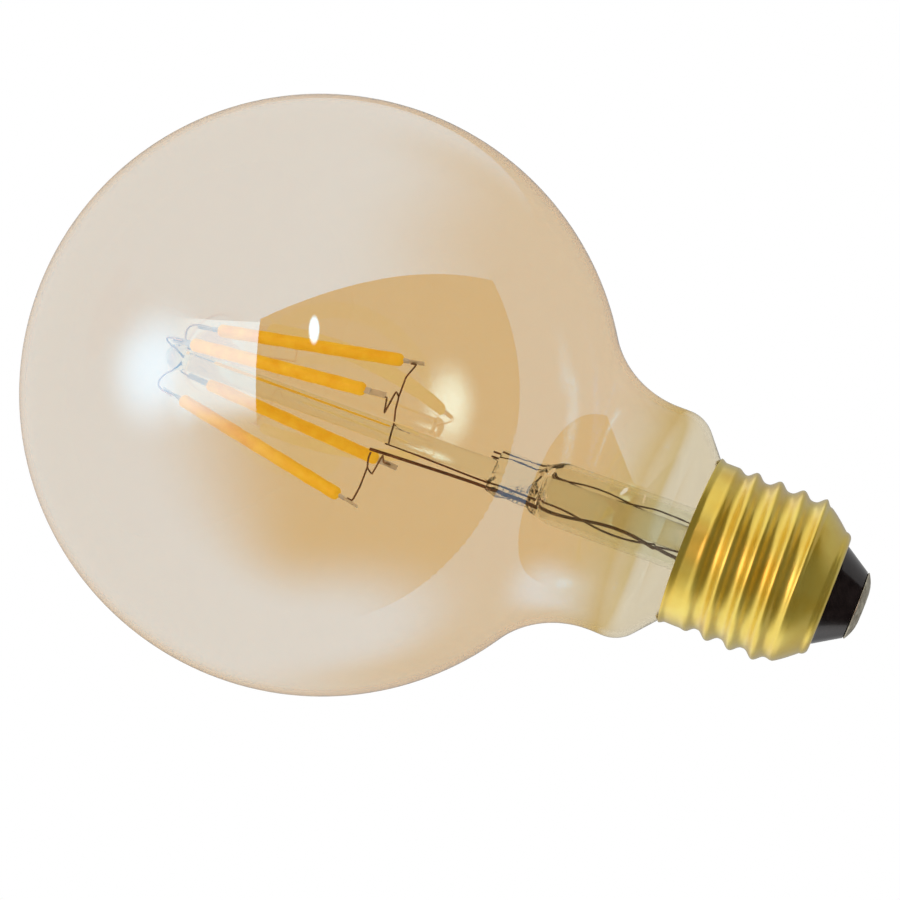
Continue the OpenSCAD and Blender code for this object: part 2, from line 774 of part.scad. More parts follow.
module capacitor_leads() {
    x = capacitor_x + capacitor_length + part_gap;
    color([0.80, 0.80, 0.80])
        on_board()
            for (z = [-1, 1])
                wire(curve([
                    [x, capacitor_y, capacitor_z + z], [x + 0.35, capacitor_y + 0.1, capacitor_z + z],
                    [x + 0.6, capacitor_y + 0.7, capacitor_z + z],
                    [x + 0.6, front_y - 0.02, capacitor_z + z]
                ], 4), 0.4);
}

module inductor_core() {
    r = inductor_d / 2;
    h = inductor_height;
    color([0.22, 0.22, 0.23])
        on_board()
            translate([inductor_x, front_y, inductor_z])
                rotate([90, 0, 0])
                    revolved([[0, 0], [r, 0], [r, 0.7], [r * 0.5, 0.7], [r * 0.5, h - 0.7],
                              [r, h - 0.7], [r, h], [0, h]]);
}

module inductor_winding() {
    r = inductor_d / 2;
    h = inductor_height;
    color([0.70, 0.36, 0.16])
        on_board()
            translate([inductor_x, front_y, inductor_z])
                rotate([90, 0, 0])
                    translate([0, 0, 0.7 + part_gap])
                        difference() {
                            cylinder(r = r - 0.25, h = h - 1.4 - 2 * part_gap);
                            translate([0, 0, -1]) cylinder(r = r * 0.5 + part_gap, h = h + 2);
                        }
}

// A part in a plain moulded case on one face of the board
module board_case(x, z, size, back = false) {
    y = back ? back_y : front_y - size.y;
    translate([x - size.x / 2, y, z - size.z / 2]) cube(size);
}

module bridge_rectifier() {
    color([0.14, 0.14, 0.15])
        on_board() board_case(-board_half + 4.2, upper_part_z + 1.4, [4, 1.6, 2.6]);
}

resistor_x = board_half - 7.4;
resistor_z = upper_part_z + 1.2;

module fusible_resistor() {
    color([0.55, 0.70, 0.62])
        on_board()
            translate([resistor_x, front_y - 1, resistor_z])
                rotate([0, 90, 0])
                    revolved([[0, 0], [0.7, 0], [1, 0.5], [1, 1.1], [0.85, 1.5], [0.85, 3],
                              [1, 3.4], [1, 4], [0.7, 4.5], [0, 4.5]]);
}

module resistor_leads() {
    color([0.80, 0.80, 0.80])
        on_board()
            for (side = [[resistor_x - part_gap, -1], [resistor_x + 4.5 + part_gap, 1]])
                wire(curve([
                    [side.x, front_y - 1, resistor_z], [side.x + side.y * 0.5, front_y - 1, resistor_z],
                    [side.x + side.y * 0.8, front_y - 0.7, resistor_z],
                    [side.x + side.y * 0.8, front_y - 0.02, resistor_z]
                ], 4), 0.4);
}

module driver_chip() {
    color([0.10, 0.10, 0.11])
        on_board() board_case(-board_half + 4.2, board_high_z - 2.6, [4.9, 1.5, 3.9], true);
}

module dimming_transistors() {
    color([0.10, 0.10, 0.11])
        on_board()
            for (x = [2.6, 5.9])
                board_case(-board_half + x, low_part_z + 1.6, [2.6, 1, 1.4], true);
}

module chip_components() {
    chip = [1.6, 0.5, 0.8];
    color([0.62, 0.55, 0.44])
        on_board() {
            for (k = [0 : 2])
                board_case(-board_half + 2.2 + 2.1 * k, board_low_z + 0.6, chip, true);
            for (k = [0 : 1])
                board_case(-0.9 + 2.1 * k, board_tab_z - 4.2, chip);
            for (k = [0 : 3])
                board_case(-3.4 + 2.1 * k, board_low_z + 0.6, chip);
        }
}

module_y = board_face + 1.9;
module_thickness = 0.8;
module_x = board_half - 2.2 - module_width / 2;
module_z = board_low_z + 0.5;
module_pin_x = [for (k = [0 : 3]) module_x - 3 + 2 * k];
module_pin_z = module_z + 1;

module radio_module_board() {
    color([0.10, 0.22, 0.42])
        on_board()
            difference() {
                translate([module_x - module_width / 2, module_y, module_z])
                    cube([module_width, module_thickness, module_height]);
                for (x = module_pin_x)
                    translate([x, module_y, module_pin_z]) rotate([90, 0, 0])
                        cylinder(r = 0.35, h = 4, center = true);
            }
}

module radio_shield_can() {
    wall = 0.2;
    size = [module_width - 1.6, 1.3, module_height - 4.6];
    color([0.74, 0.75, 0.76])
        on_board()
            translate([module_x - size.x / 2, module_y + module_thickness + part_gap, module_z + 2])
                difference() {
                    cube(size);
                    translate([wall, -1, wall])
                        cube([size.x - 2 * wall, size.y + 1 - wall, size.z - 2 * wall]);
                }
}

module radio_antenna() {
    trace = 0.35;
    legs = 6;
    reach = (module_width - 1.8) / legs;
    color([0.78, 0.50, 0.26])
        on_board()
            translate([module_x - module_width / 2 + 0.8, module_y + module_thickness + part_gap / 2,
                       module_z + module_height - 2.2])
                for (k = [0 : legs])
                    translate([reach * k, 0, 0]) {
                        cube([trace, 0.1, 1.8]);
                        if (k < legs)
                            translate([0, 0, k % 2 == 0 ? 1.8 - trace : 0])
                                cube([reach + trace, 0.1, trace]);
                    }
}

module module_pins() {
    color([0.85, 0.72, 0.35])
        on_board()
            for (x = module_pin_x)
                translate([x, module_y + module_thickness + 0.3, module_pin_z])
                    rotate([90, 0, 0])
                        cylinder(r = 0.28, h = module_y + module_thickness + 0.3 + board_face + 0.4);
}

module contact_wire() {
    y = board_face + lead_d / 2 + part_gap;
    x = 1.2;
    function at(p, q, z) = [p * cos(board_turn) - q * sin(board_turn),
                            p * sin(board_turn) + q * cos(board_turn), z];
    color([0.75, 0.12, 0.10])
        wire(curve([
            at(-x, y, board_low_z + 2.2), at(-x, y, board_low_z + 0.6), at(-x, y, board_low_z - 0.9),
            at(-0.3, 0.2, insulator_z + 4.3), at(0, 0, insulator_z + 2.6), at(0, 0, insulator_z + 1),
            at(0, 0, 0.6 + 0.5)
        ], 4), lead_d);
}

module shell_wire() {
    y = shell_wire_y;
    reach = sqrt(pow(shell_bore_r - lead_d / 2 - 0.1, 2) - pow(y, 2));
    color([0.12, 0.12, 0.13])
        on_board()
            wire(curve([
                [board_half - 3, y, shell_wire_z], [board_half - 2, y, shell_wire_z],
                [board_half - 1, y, shell_wire_z], [reach, y, shell_wire_z]
            ], 3), lead_d);
}

// ---- Nodes ----

glass_globe();
screw_shell();
base_insulator();
centre_contact();
contact_solder();
neck_cement();
stem_flare();
exhaust_tube();
support_pillar();
pillar_bead();
top_spider();
lower_link_right();
lower_link_left();
pillar_hook_wire();
lead_wire_1();
lead_wire_2();
cut_lead(1);  // lead_wire_3
cut_lead(-1);  // lead_wire_4
filament(0);  // filament_1
filament(1);  // filament_2
filament(2);  // filament_3
filament(3);  // filament_4
filament_strips();
filament_chips();
filament_end_tabs();
insulating_sleeve();
driver_board();
smoothing_capacitor();
capacitor_leads();
inductor_core();
inductor_winding();
bridge_rectifier();
fusible_resistor();
resistor_leads();
driver_chip();
dimming_transistors();
chip_components();
radio_module_board();
radio_shield_can();
radio_antenna();
module_pins();
contact_wire();
shell_wire();
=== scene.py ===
# A smart filament lamp: amber globe, brass screw cap and a filament cage on a glass stem.
# It stands cap down, with the middle of its centre contact at the origin and its axis along +Z.
import math
import bmesh
import bpy
from mathutils import Euler, Matrix, Vector


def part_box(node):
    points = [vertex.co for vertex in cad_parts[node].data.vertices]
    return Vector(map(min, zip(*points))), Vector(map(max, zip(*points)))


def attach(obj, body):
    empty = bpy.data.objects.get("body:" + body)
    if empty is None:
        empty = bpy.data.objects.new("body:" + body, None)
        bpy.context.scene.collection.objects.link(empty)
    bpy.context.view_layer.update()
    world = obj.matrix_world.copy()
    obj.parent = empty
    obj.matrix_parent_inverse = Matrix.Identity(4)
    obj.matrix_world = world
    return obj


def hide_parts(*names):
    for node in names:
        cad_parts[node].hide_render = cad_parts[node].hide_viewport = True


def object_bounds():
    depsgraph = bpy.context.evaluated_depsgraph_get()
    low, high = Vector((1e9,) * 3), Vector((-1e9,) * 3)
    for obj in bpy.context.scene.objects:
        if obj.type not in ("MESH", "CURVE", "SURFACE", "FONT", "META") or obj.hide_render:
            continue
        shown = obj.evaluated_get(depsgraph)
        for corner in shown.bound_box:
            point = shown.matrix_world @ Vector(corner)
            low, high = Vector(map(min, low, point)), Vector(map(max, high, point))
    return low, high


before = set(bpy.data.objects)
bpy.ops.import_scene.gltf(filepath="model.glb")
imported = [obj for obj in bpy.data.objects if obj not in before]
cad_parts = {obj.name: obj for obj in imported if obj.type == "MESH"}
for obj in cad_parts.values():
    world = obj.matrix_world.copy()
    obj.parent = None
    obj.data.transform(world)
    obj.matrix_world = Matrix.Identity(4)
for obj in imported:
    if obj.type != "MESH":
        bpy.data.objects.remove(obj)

cad_low, cad_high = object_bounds()
MM = 0.001


# ---- Camera ------------------------------------------------------------------------------
# A lens of middle length stands about 25 cm in front of the globe and a little lower than it.
# It is rolled, so that the lamp lies across the frame with its cap down to the right.
GLOBE_R = 47.5 * MM
CAMERA_PLACE = Vector((0, -240.6 * MM, 8.7 * MM))
CAMERA_AIM = Vector((-0.6 * MM, 0, 67.0 * MM))
CAMERA_ROLL = math.radians(-68.5)
globe_centre = Vector((0, 0, cad_high.z - GLOBE_R))

bpy.ops.object.camera_add(location=CAMERA_PLACE)
camera = bpy.context.object
camera.name = "studio_camera"
camera.data.lens = 63.0
looking = (CAMERA_AIM - CAMERA_PLACE).to_track_quat("-Z", "Y").to_matrix()
looking = looking @ Matrix.Rotation(CAMERA_ROLL, 3, "Z")
camera.rotation_euler = looking.to_euler()
camera.data.clip_start = 0.01
camera.data.clip_end = 100
bpy.context.scene.camera = camera
bpy.context.scene.view_settings.view_transform = "Standard"
studio_right, studio_up, studio_back = looking.col[0], looking.col[1], looking.col[2]


# ---- Floor, backdrop and studio light ------------------------------------------------------
# The lamp is held in the air over a wide white floor, before a white world. Its glass and brass
# mirror a room that nothing else sees: a window and a lamp to the left, a small lamp overhead, a
# dark wall behind the camera, and dim walls to the right, above and behind the lamp.
FLOOR_Z = -70 * MM
FLOOR_SIZE = 0.8
FLOOR_GLOW = 1.05
FLOOR_GLOW_SHARE = 0.8
WORLD_LIGHT = 0.62


def new_material(name):
    material = bpy.data.materials.new(name)
    material.use_nodes = True
    material.node_tree.nodes.clear()
    return material, material.node_tree.nodes, material.node_tree.links


def add_node(nodes, kind, **values):
    node = nodes.new(kind)
    for key, value in values.items():
        if hasattr(node, key):
            setattr(node, key, value)
        else:
            node.inputs[key.replace("_", " ")].default_value = value
    return node


def to_output(nodes, links, shader, kind="ShaderNodeOutputMaterial"):
    """Ends a node tree in this shader."""
    out = nodes.new(kind)
    links.new(shader.outputs[0], out.inputs[0])


def seen_directly(nodes, links):
    """1 for camera, mirror and glass rays, which see the white background itself."""
    path = nodes.new("ShaderNodeLightPath")
    first = add_node(nodes, "ShaderNodeMath", operation="MAXIMUM")
    second = add_node(nodes, "ShaderNodeMath", operation="MAXIMUM")
    links.new(path.outputs["Is Camera Ray"], first.inputs[0])
    links.new(path.outputs["Is Glossy Ray"], first.inputs[1])
    links.new(first.outputs[0], second.inputs[0])
    links.new(path.outputs["Is Transmission Ray"], second.inputs[1])
    return second.outputs[0]


world = bpy.data.worlds.new("white_studio")
world.use_nodes = True
bpy.context.scene.world = world
nodes, links = world.node_tree.nodes, world.node_tree.links
nodes.clear()
ambient = add_node(nodes, "ShaderNodeBackground", Color=(1, 1, 1, 1), Strength=WORLD_LIGHT)
white = add_node(nodes, "ShaderNodeBackground", Color=(1, 1, 1, 1), Strength=1.0)
world_mix = nodes.new("ShaderNodeMixShader")
links.new(seen_directly(nodes, links), world_mix.inputs[0])
links.new(ambient.outputs[0], world_mix.inputs[1])
links.new(white.outputs[0], world_mix.inputs[2])
to_output(nodes, links, world_mix, "ShaderNodeOutputWorld")

bpy.ops.mesh.primitive_plane_add(size=FLOOR_SIZE, location=(0, 0, FLOOR_Z))
floor = bpy.context.object
floor.name = "floor"
floor_material, nodes, links = new_material("white_floor")
floor_paint = add_node(nodes, "ShaderNodeBsdfDiffuse", Color=(0.9, 0.9, 0.9, 1))
floor_glow = add_node(nodes, "ShaderNodeEmission", Color=(1, 1, 1, 1), Strength=FLOOR_GLOW)
floor_share = add_node(nodes, "ShaderNodeMath", operation="MULTIPLY")
floor_share.inputs[1].default_value = FLOOR_GLOW_SHARE
floor_mix = nodes.new("ShaderNodeMixShader")
links.new(seen_directly(nodes, links), floor_share.inputs[0])
links.new(floor_share.outputs[0], floor_mix.inputs[0])
links.new(floor_paint.outputs[0], floor_mix.inputs[1])
links.new(floor_glow.outputs[0], floor_mix.inputs[2])
to_output(nodes, links, floor_mix)
floor.data.materials.append(floor_material)
floor.visible_glossy = False


def studio_direction(turn, rise):
    """A direction from the globe: turn degrees to the camera's right and rise degrees up."""
    turn, rise = math.radians(turn), math.radians(rise)
    level = studio_back * math.cos(turn) + studio_right * math.sin(turn)
    return level * math.cos(rise) + studio_up * math.sin(rise)


def fading(nodes, links, value, start, end):
    """Rises smoothly from 0 at start to 1 at end."""
    fade = add_node(nodes, "ShaderNodeMapRange", interpolation_type="SMOOTHERSTEP")
    fade.inputs["From Min"].default_value = start
    fade.inputs["From Max"].default_value = end
    links.new(value, fade.inputs["Value"])
    return fade.outputs[0]


def studio_panel(name, turns, rises, colour, fades=(), peak=None, distance=0.55):
    """A curved panel round the globe between two turns and two rises, in degrees.

    fades are (axis, start, end): the panel fades in along its width (0) or height (1).
    A peak (place, fall) bows the upper edge, which is highest at that share of the width.
    The panel is seen by the glass and the metal in their reflections only.
    """
    bpy.ops.mesh.primitive_grid_add(x_subdivisions=40, y_subdivisions=40, size=1)
    panel = bpy.context.object
    panel.name = name
    for vertex in panel.data.vertices:
        across, up = vertex.co.x + 0.5, vertex.co.y + 0.5
        top = rises[1] - (peak[1] * (across - peak[0]) ** 2 if peak else 0)
        turn = turns[0] + (turns[1] - turns[0]) * across
        rise = rises[0] + (top - rises[0]) * up
        vertex.co = globe_centre + studio_direction(turn, rise) * distance
    material, nodes, links = new_material(name + "_face")
    shader = glow = add_node(nodes, "ShaderNodeEmission", Color=(*colour, 1), Strength=1.0)
    if fades:
        place = nodes.new("ShaderNodeTexCoord")
        split = nodes.new("ShaderNodeSeparateXYZ")
        links.new(place.outputs["UV"], split.inputs[0])
        share = None
        for axis, start, end in fades:
            fade = fading(nodes, links, split.outputs[axis], start, end)
            if share is not None:
                both = add_node(nodes, "ShaderNodeMath", operation="MULTIPLY")
                links.new(share, both.inputs[0])
                links.new(fade, both.inputs[1])
                fade = both.outputs[0]
            share = fade
        clear = nodes.new("ShaderNodeBsdfTransparent")
        shader = nodes.new("ShaderNodeMixShader")
        links.new(share, shader.inputs[0])
        links.new(clear.outputs[0], shader.inputs[1])
        links.new(glow.outputs[0], shader.inputs[2])
    to_output(nodes, links, shader)
    panel.data.materials.append(material)
    panel.visible_camera = False
    panel.visible_transmission = False
    panel.visible_diffuse = False
    panel.visible_shadow = False


def round_light(name, turn, rise, distance, size, colour, edge=0.0, mirrored=True):
    """A round or oval lamp with a soft rim, which faces the globe.

    It is full up to edge (0 to 1) of its radius. A lamp that is not mirrored is seen through
    the glass only, in the far wall.
    """
    toward = studio_direction(turn, rise)
    bpy.ops.mesh.primitive_circle_add(vertices=48, radius=0.5, fill_type="NGON")
    light = bpy.context.object
    light.name = name
    across = studio_direction(turn + 90, 0)
    facing = Matrix((across, toward.cross(across), toward)).transposed().to_4x4()
    light.matrix_world = (
        Matrix.Translation(globe_centre + toward * distance)
        @ facing
        @ Matrix.Diagonal((size[0], size[1], 1, 1))
    )
    material, nodes, links = new_material(name + "_face")
    place = nodes.new("ShaderNodeTexCoord")
    length = add_node(nodes, "ShaderNodeVectorMath", operation="LENGTH")
    links.new(place.outputs["Object"], length.inputs[0])
    fall = fading(nodes, links, length.outputs["Value"], 0.5, 0.5 * edge)
    glow = add_node(nodes, "ShaderNodeEmission", Color=(*colour, 1))
    links.new(fall, glow.inputs["Strength"])
    clear = nodes.new("ShaderNodeBsdfTransparent")
    both = nodes.new("ShaderNodeAddShader")
    links.new(clear.outputs[0], both.inputs[0])
    links.new(glow.outputs[0], both.inputs[1])
    to_output(nodes, links, both)
    light.data.materials.append(material)
    light.visible_camera = False
    light.visible_glossy = mirrored
    light.visible_transmission = not mirrored
    light.visible_diffuse = mirrored


round_light("round_softbox", -56, 7, 0.60, (0.62, 0.56), (2.0, 1.3, 1.1))
round_light("strip_light", 0.4, 20.6, 0.50, (0.036, 0.10), (5.0, 3.2, 2.6), edge=0.6)
round_light("far_softbox", -53, 2, 0.60, (0.38, 0.50), (6, 5.5, 8), mirrored=False)
studio_panel(
    "window", (-56, -19), (-14, 23.0), (2.9, 1.85, 1.55),
    fades=((0, 0.0, 0.45), (1, 0.0, 0.45)), distance=0.57,
)
studio_panel(
    "dark_wall", (-19, 76), (-14, 39), (0, 0, 0), fades=((1, 0.0, 0.15),), peak=(0.62, 39)
)
studio_panel(
    "dark_wall_low", (-75, 76), (-88, 4), (0, 0, 0),
    fades=((0, 0.0, 0.52), (1, 0.0, 0.45), (1, 1.0, 0.85)), distance=0.58,
)
studio_panel(
    "side_wall", (75, 215), (-80, 36), (0.36, 0.36, 0.36),
    fades=((0, 1.0, 0.6), (1, 0.0, 0.3)), distance=0.58,
)
studio_panel(
    "upper_wall", (-10, 175), (34, 86), (0.36, 0.36, 0.36),
    fades=((0, 0.0, 0.6), (0, 1.0, 0.7), (1, 1.0, 0.0)), distance=0.57,
)
studio_panel(
    "rear_wall", (130, 230), (-50, 50), (0.50, 0.42, 0.34),
    fades=((0, 0.0, 0.4), (0, 1.0, 0.6), (1, 0.0, 0.4), (1, 1.0, 0.6)), distance=0.60,
)


# ---- Glass globe ----------------------------------------------------------------------------
# Thin blown glass: a globe, a neck that sweeps out of it and a shoulder that runs into the cap.
# A vapour coat on the outside tints it amber, deepest in the neck, and mirrors the room. It thins
# out towards the foot.
GLASS_WALL = 0.8 * MM
NECK_R = 18.3 * MM
NECK_SWEEP = 16 * MM
NECK_STRAIGHT = 1.8 * MM
SHOULDER_R = 5.2 * MM
SHOULDER_SLOPE = math.radians(50)
FOOT_R = 1.5 * MM
FOOT_RISE = 5.04 * MM
NECK_TUBE_R = 11.3 * MM
COATING_END = 32.0 * MM
COATING_FULL = 48.0 * MM
COATING_WANDER = 3.0 * MM
COATING_ZONES = (0.0, 0.12, 1.0)
TINTS = [(0.70, 0.62, 0.46), (0.57, 0.395, 0.125), (0.73, 0.60, 0.376)]
GLOSSES = [(0.12, 0.12, 0.12), (0.12, 0.16, 0.20), (0.2, 0.6, 1.0)]
INNER_TINT = (0.96, 0.95, 0.93)
INNER_GLOSS = (0.01, 0.01, 0.01)
GLOBE_SIDES = 160

globe_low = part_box("glass_globe")[0]


def arc(x, y, radius, start, end, steps):
    """Points of a circular arc, angles in degrees."""
    points = []
    for k in range(steps + 1):
        angle = math.radians(start + (end - start) * k / steps)
        points.append((x + radius * math.cos(angle), y + radius * math.sin(angle)))
    return points


def select_only(piece):
    bpy.ops.object.select_all(action="DESELECT")
    piece.select_set(True)
    bpy.context.view_layer.objects.active = piece


def edit(piece):
    """Puts one piece in edit mode with nothing else selected."""
    select_only(piece)
    bpy.ops.object.mode_set(mode="EDIT")


def select_open_edges(piece):
    """Selects the open edges of a piece in edit mode."""
    bpy.ops.mesh.select_all(action="DESELECT")
    shape = bmesh.from_edit_mesh(piece.data)
    for edge in shape.edges:
        edge.select_set(len(edge.link_faces) == 1)
    bmesh.update_edit_mesh(piece.data)


def lathe(name, outline, sides, first_closed=True, last_closed=True):
    """A circle drawn out along an outline of (radius, height) points, into a round piece."""
    bpy.ops.object.select_all(action="DESELECT")
    radius, height = outline[0]
    bpy.ops.mesh.primitive_circle_add(
        vertices=sides,
        radius=radius,
        location=(0, 0, height),
        fill_type="TRIFAN" if first_closed else "NOTHING",
    )
    piece = bpy.context.object
    piece.name = name
    bpy.ops.object.transform_apply(location=True, rotation=True, scale=True)
    edit(piece)
    if first_closed:
        select_open_edges(piece)
    for next_radius, next_height in outline[1:]:
        bpy.ops.mesh.extrude_edges_move(
            TRANSFORM_OT_translate={"value": (0, 0, next_height - height)}
        )
        scale = next_radius / radius
        bpy.ops.transform.resize(value=(scale, scale, 1), center_override=(0, 0, next_height))
        radius, height = next_radius, next_height
    if last_closed:
        bpy.ops.mesh.edge_face_add()
        bpy.ops.mesh.poke()
    bpy.ops.mesh.select_all(action="SELECT")
    bpy.ops.mesh.remove_doubles(threshold=1e-7)
    bpy.ops.mesh.normals_make_consistent(inside=False)
    bpy.ops.object.mode_set(mode="OBJECT")
    return piece


def apply_modifier(piece, kind, **values):
    """Adds a modifier and applies it at once."""
    select_only(piece)
    modifier = piece.modifiers.new(kind.lower(), kind)
    for key, value in values.items():
        setattr(modifier, key, value)
    bpy.ops.object.modifier_apply(modifier=modifier.name)


def smooth(piece, angle=None):
    """Shades a piece smooth, all over or up to an angle in degrees."""
    select_only(piece)
    if angle is None:
        bpy.ops.object.shade_smooth()
    else:
        bpy.ops.object.shade_smooth_by_angle(angle=math.radians(angle))


def globe_outline():
    """From the crown down the globe and the neck to the foot, inside the cap."""
    foot_z = globe_low.z + FOOT_RISE
    taper_run = NECK_R - NECK_TUBE_R - (SHOULDER_R + FOOT_R) * (1 - math.cos(SHOULDER_SLOPE))
    shoulder_z = (
        foot_z
        + (SHOULDER_R + FOOT_R) * math.sin(SHOULDER_SLOPE)
        + taper_run / math.tan(SHOULDER_SLOPE)
    )
    sweep_x = NECK_R + NECK_SWEEP
    sweep_z = shoulder_z + NECK_STRAIGHT
    centre_z = sweep_z + math.sqrt((GLOBE_R + NECK_SWEEP) ** 2 - sweep_x**2)
    meet = math.degrees(math.atan2(centre_z - sweep_z, sweep_x))
    slope = math.degrees(SHOULDER_SLOPE)
    outline = arc(0, centre_z, GLOBE_R, 89.3, -meet, 80)
    outline += arc(sweep_x, sweep_z, NECK_SWEEP, 180 - meet, 180, 20)[1:]
    outline += arc(NECK_R - SHOULDER_R, shoulder_z, SHOULDER_R, 0, -slope, 16)
    outline += arc(NECK_TUBE_R + FOOT_R, foot_z, FOOT_R, 180 - slope, 180, 6)
    outline += [(NECK_TUBE_R, globe_low.z)]
    return outline


globe = lathe("amber_globe", globe_outline(), GLOBE_SIDES, last_closed=False)


def ramp_of(nodes, links, share, stops):
    """A colour ramp over a share of 0 to 1: stops are (position, colour)."""
    ramp = nodes.new("ShaderNodeValToRGB")
    while len(ramp.color_ramp.elements) < len(stops):
        ramp.color_ramp.elements.new(0.5)
    for element, (position, colour) in zip(ramp.color_ramp.elements, stops):
        element.position = position
        element.color = (*colour, 1)
    links.new(share, ramp.inputs[0])
    return ramp.outputs[0]


def object_noise(nodes, links, **values):
    """Noise from 0 to 1 that stays with the piece."""
    place = nodes.new("ShaderNodeTexCoord")
    noise = add_node(nodes, "ShaderNodeTexNoise", **values)
    links.new(place.outputs["Object"], noise.inputs["Vector"])
    return noise.outputs["Fac"]


def globe_glass(name, tints, glosses):
    """Glass in three zones, foot, neck and globe, each with its tint and its mirror gloss."""
    material, nodes, links = new_material(name)
    place = nodes.new("ShaderNodeTexCoord")
    split = nodes.new("ShaderNodeSeparateXYZ")
    links.new(place.outputs["Object"], split.inputs[0])
    uneven = add_node(nodes, "ShaderNodeMath", operation="MULTIPLY_ADD")
    uneven.inputs[1].default_value = COATING_WANDER
    links.new(object_noise(nodes, links, Scale=26.0, Detail=3.0), uneven.inputs[0])
    links.new(split.outputs["Z"], uneven.inputs[2])
    zone = fading(nodes, links, uneven.outputs[0], COATING_END, COATING_FULL)
    tint = ramp_of(nodes, links, zone, list(zip(COATING_ZONES, tints)))
    gloss = ramp_of(nodes, links, zone, list(zip(COATING_ZONES, glosses)))
    glass = add_node(
        nodes, "ShaderNodeBsdfPrincipled", Roughness=0.0, IOR=4.0, Transmission_Weight=1.0
    )
    links.new(tint, glass.inputs["Base Color"])
    links.new(gloss, glass.inputs["Specular Tint"])
    to_output(nodes, links, glass)
    return material


globe.data.materials.append(globe_glass("amber_vapour_coat", TINTS, GLOSSES))
globe.data.materials.append(
    globe_glass("globe_inner_face", [INNER_TINT] * 3, [INNER_GLOSS] * 3)
)
apply_modifier(globe, "SOLIDIFY", thickness=GLASS_WALL, offset=-1, material_offset=1)
smooth(globe, 50)
globe.visible_diffuse = False
globe.visible_shadow = False
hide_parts("glass_globe")
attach(globe, "root")


# ---- Screw shell ----------------------------------------------------------------------------
# Brass sheet rolled to a rounded right-hand thread, seven turns to the inch.
# The rim flares out round the glass, and the bottom slopes in to a lip on the insulator.
THREAD_R = 13.15 * MM
THREAD_DEPTH = 1.05 * MM
THREAD_PITCH = 3.629 * MM
THREAD_LOW = 9.4 * MM
THREAD_HIGH = 23.8 * MM
CAP_HEIGHT = 27.0 * MM
SHELL_WALL = 0.3 * MM
RIM_FLARE = 0.4 * MM
LIP_Z = 5.2 * MM
LIP_R = 7.9 * MM
LIP_REACH = 1.75 * MM
LIP_CORNER_R = 1.0 * MM
THREAD_MEAN_R = THREAD_R - THREAD_DEPTH / 2
SKIRT_R = THREAD_MEAN_R + 0.25 * MM
SHELL_SIDES = 224
SHELL_ROW = 0.16 * MM
BRASS_DARK = (0.90, 0.60, 0.045)
BRASS_LIGHT = (1.0, 0.82, 0.15)


def eased(t):
    s = min(1.0, max(0.0, t))
    return s * s * (3 - 2 * s)


def shell_radius(z, turn):
    """Radius of the shell's outside at height z, turn radians round."""
    share = eased((z - THREAD_LOW) / (1.1 * MM)) * eased((THREAD_HIGH + 0.7 * MM - z) / (2.4 * MM))
    phase = 2 * math.pi * (z - THREAD_LOW - 1 * MM) / THREAD_PITCH - turn
    ridge = 2 * ((1 + math.cos(phase)) / 2) ** 1.35 - 1
    skirt = (SKIRT_R - THREAD_MEAN_R) * eased((z - THREAD_HIGH + 1 * MM) / (1.4 * MM))
    flare = RIM_FLARE * eased((z - CAP_HEIGHT + 0.9 * MM) / (0.9 * MM))
    low = 0.8 * THREAD_DEPTH / 2 * (1 - eased((z - THREAD_LOW) / (1.1 * MM)))
    return THREAD_MEAN_R + skirt + flare + THREAD_DEPTH / 2 * share * ridge - low


def shell_outline():
    """From the rim down the threads, the slope and its rounded corner to the lip."""
    rows = [(shell_radius(CAP_HEIGHT, 0), CAP_HEIGHT)]
    count = round((CAP_HEIGHT - THREAD_LOW) / SHELL_ROW)
    for k in range(1, count + 1):
        z = CAP_HEIGHT - (CAP_HEIGHT - THREAD_LOW) * k / count
        rows.append((shell_radius(z, 0), z))
    top_r = rows[-1][0]
    low_r = LIP_R + LIP_REACH
    drop = THREAD_LOW - LIP_Z - LIP_CORNER_R
    for k in range(1, 9):
        share = k / 8
        rows.append((top_r + (low_r - top_r) * share**1.15, THREAD_LOW - drop * share))
    rows += arc(low_r - LIP_CORNER_R, LIP_Z + LIP_CORNER_R, LIP_CORNER_R, 0, -90, 8)
    rows.append((LIP_R, LIP_Z))
    return rows


shell = lathe("brass_shell", shell_outline(), SHELL_SIDES, first_closed=False, last_closed=False)
for vertex in shell.data.vertices:
    x, y, z = vertex.co
    if z >= THREAD_LOW - 1e-6:
        turn = math.atan2(y, x)
        wanted = shell_radius(z, turn)
        now = math.hypot(x, y)
        vertex.co = (x * wanted / now, y * wanted / now, z)
apply_modifier(shell, "SOLIDIFY", thickness=SHELL_WALL, offset=-1)
smooth(shell, 50)


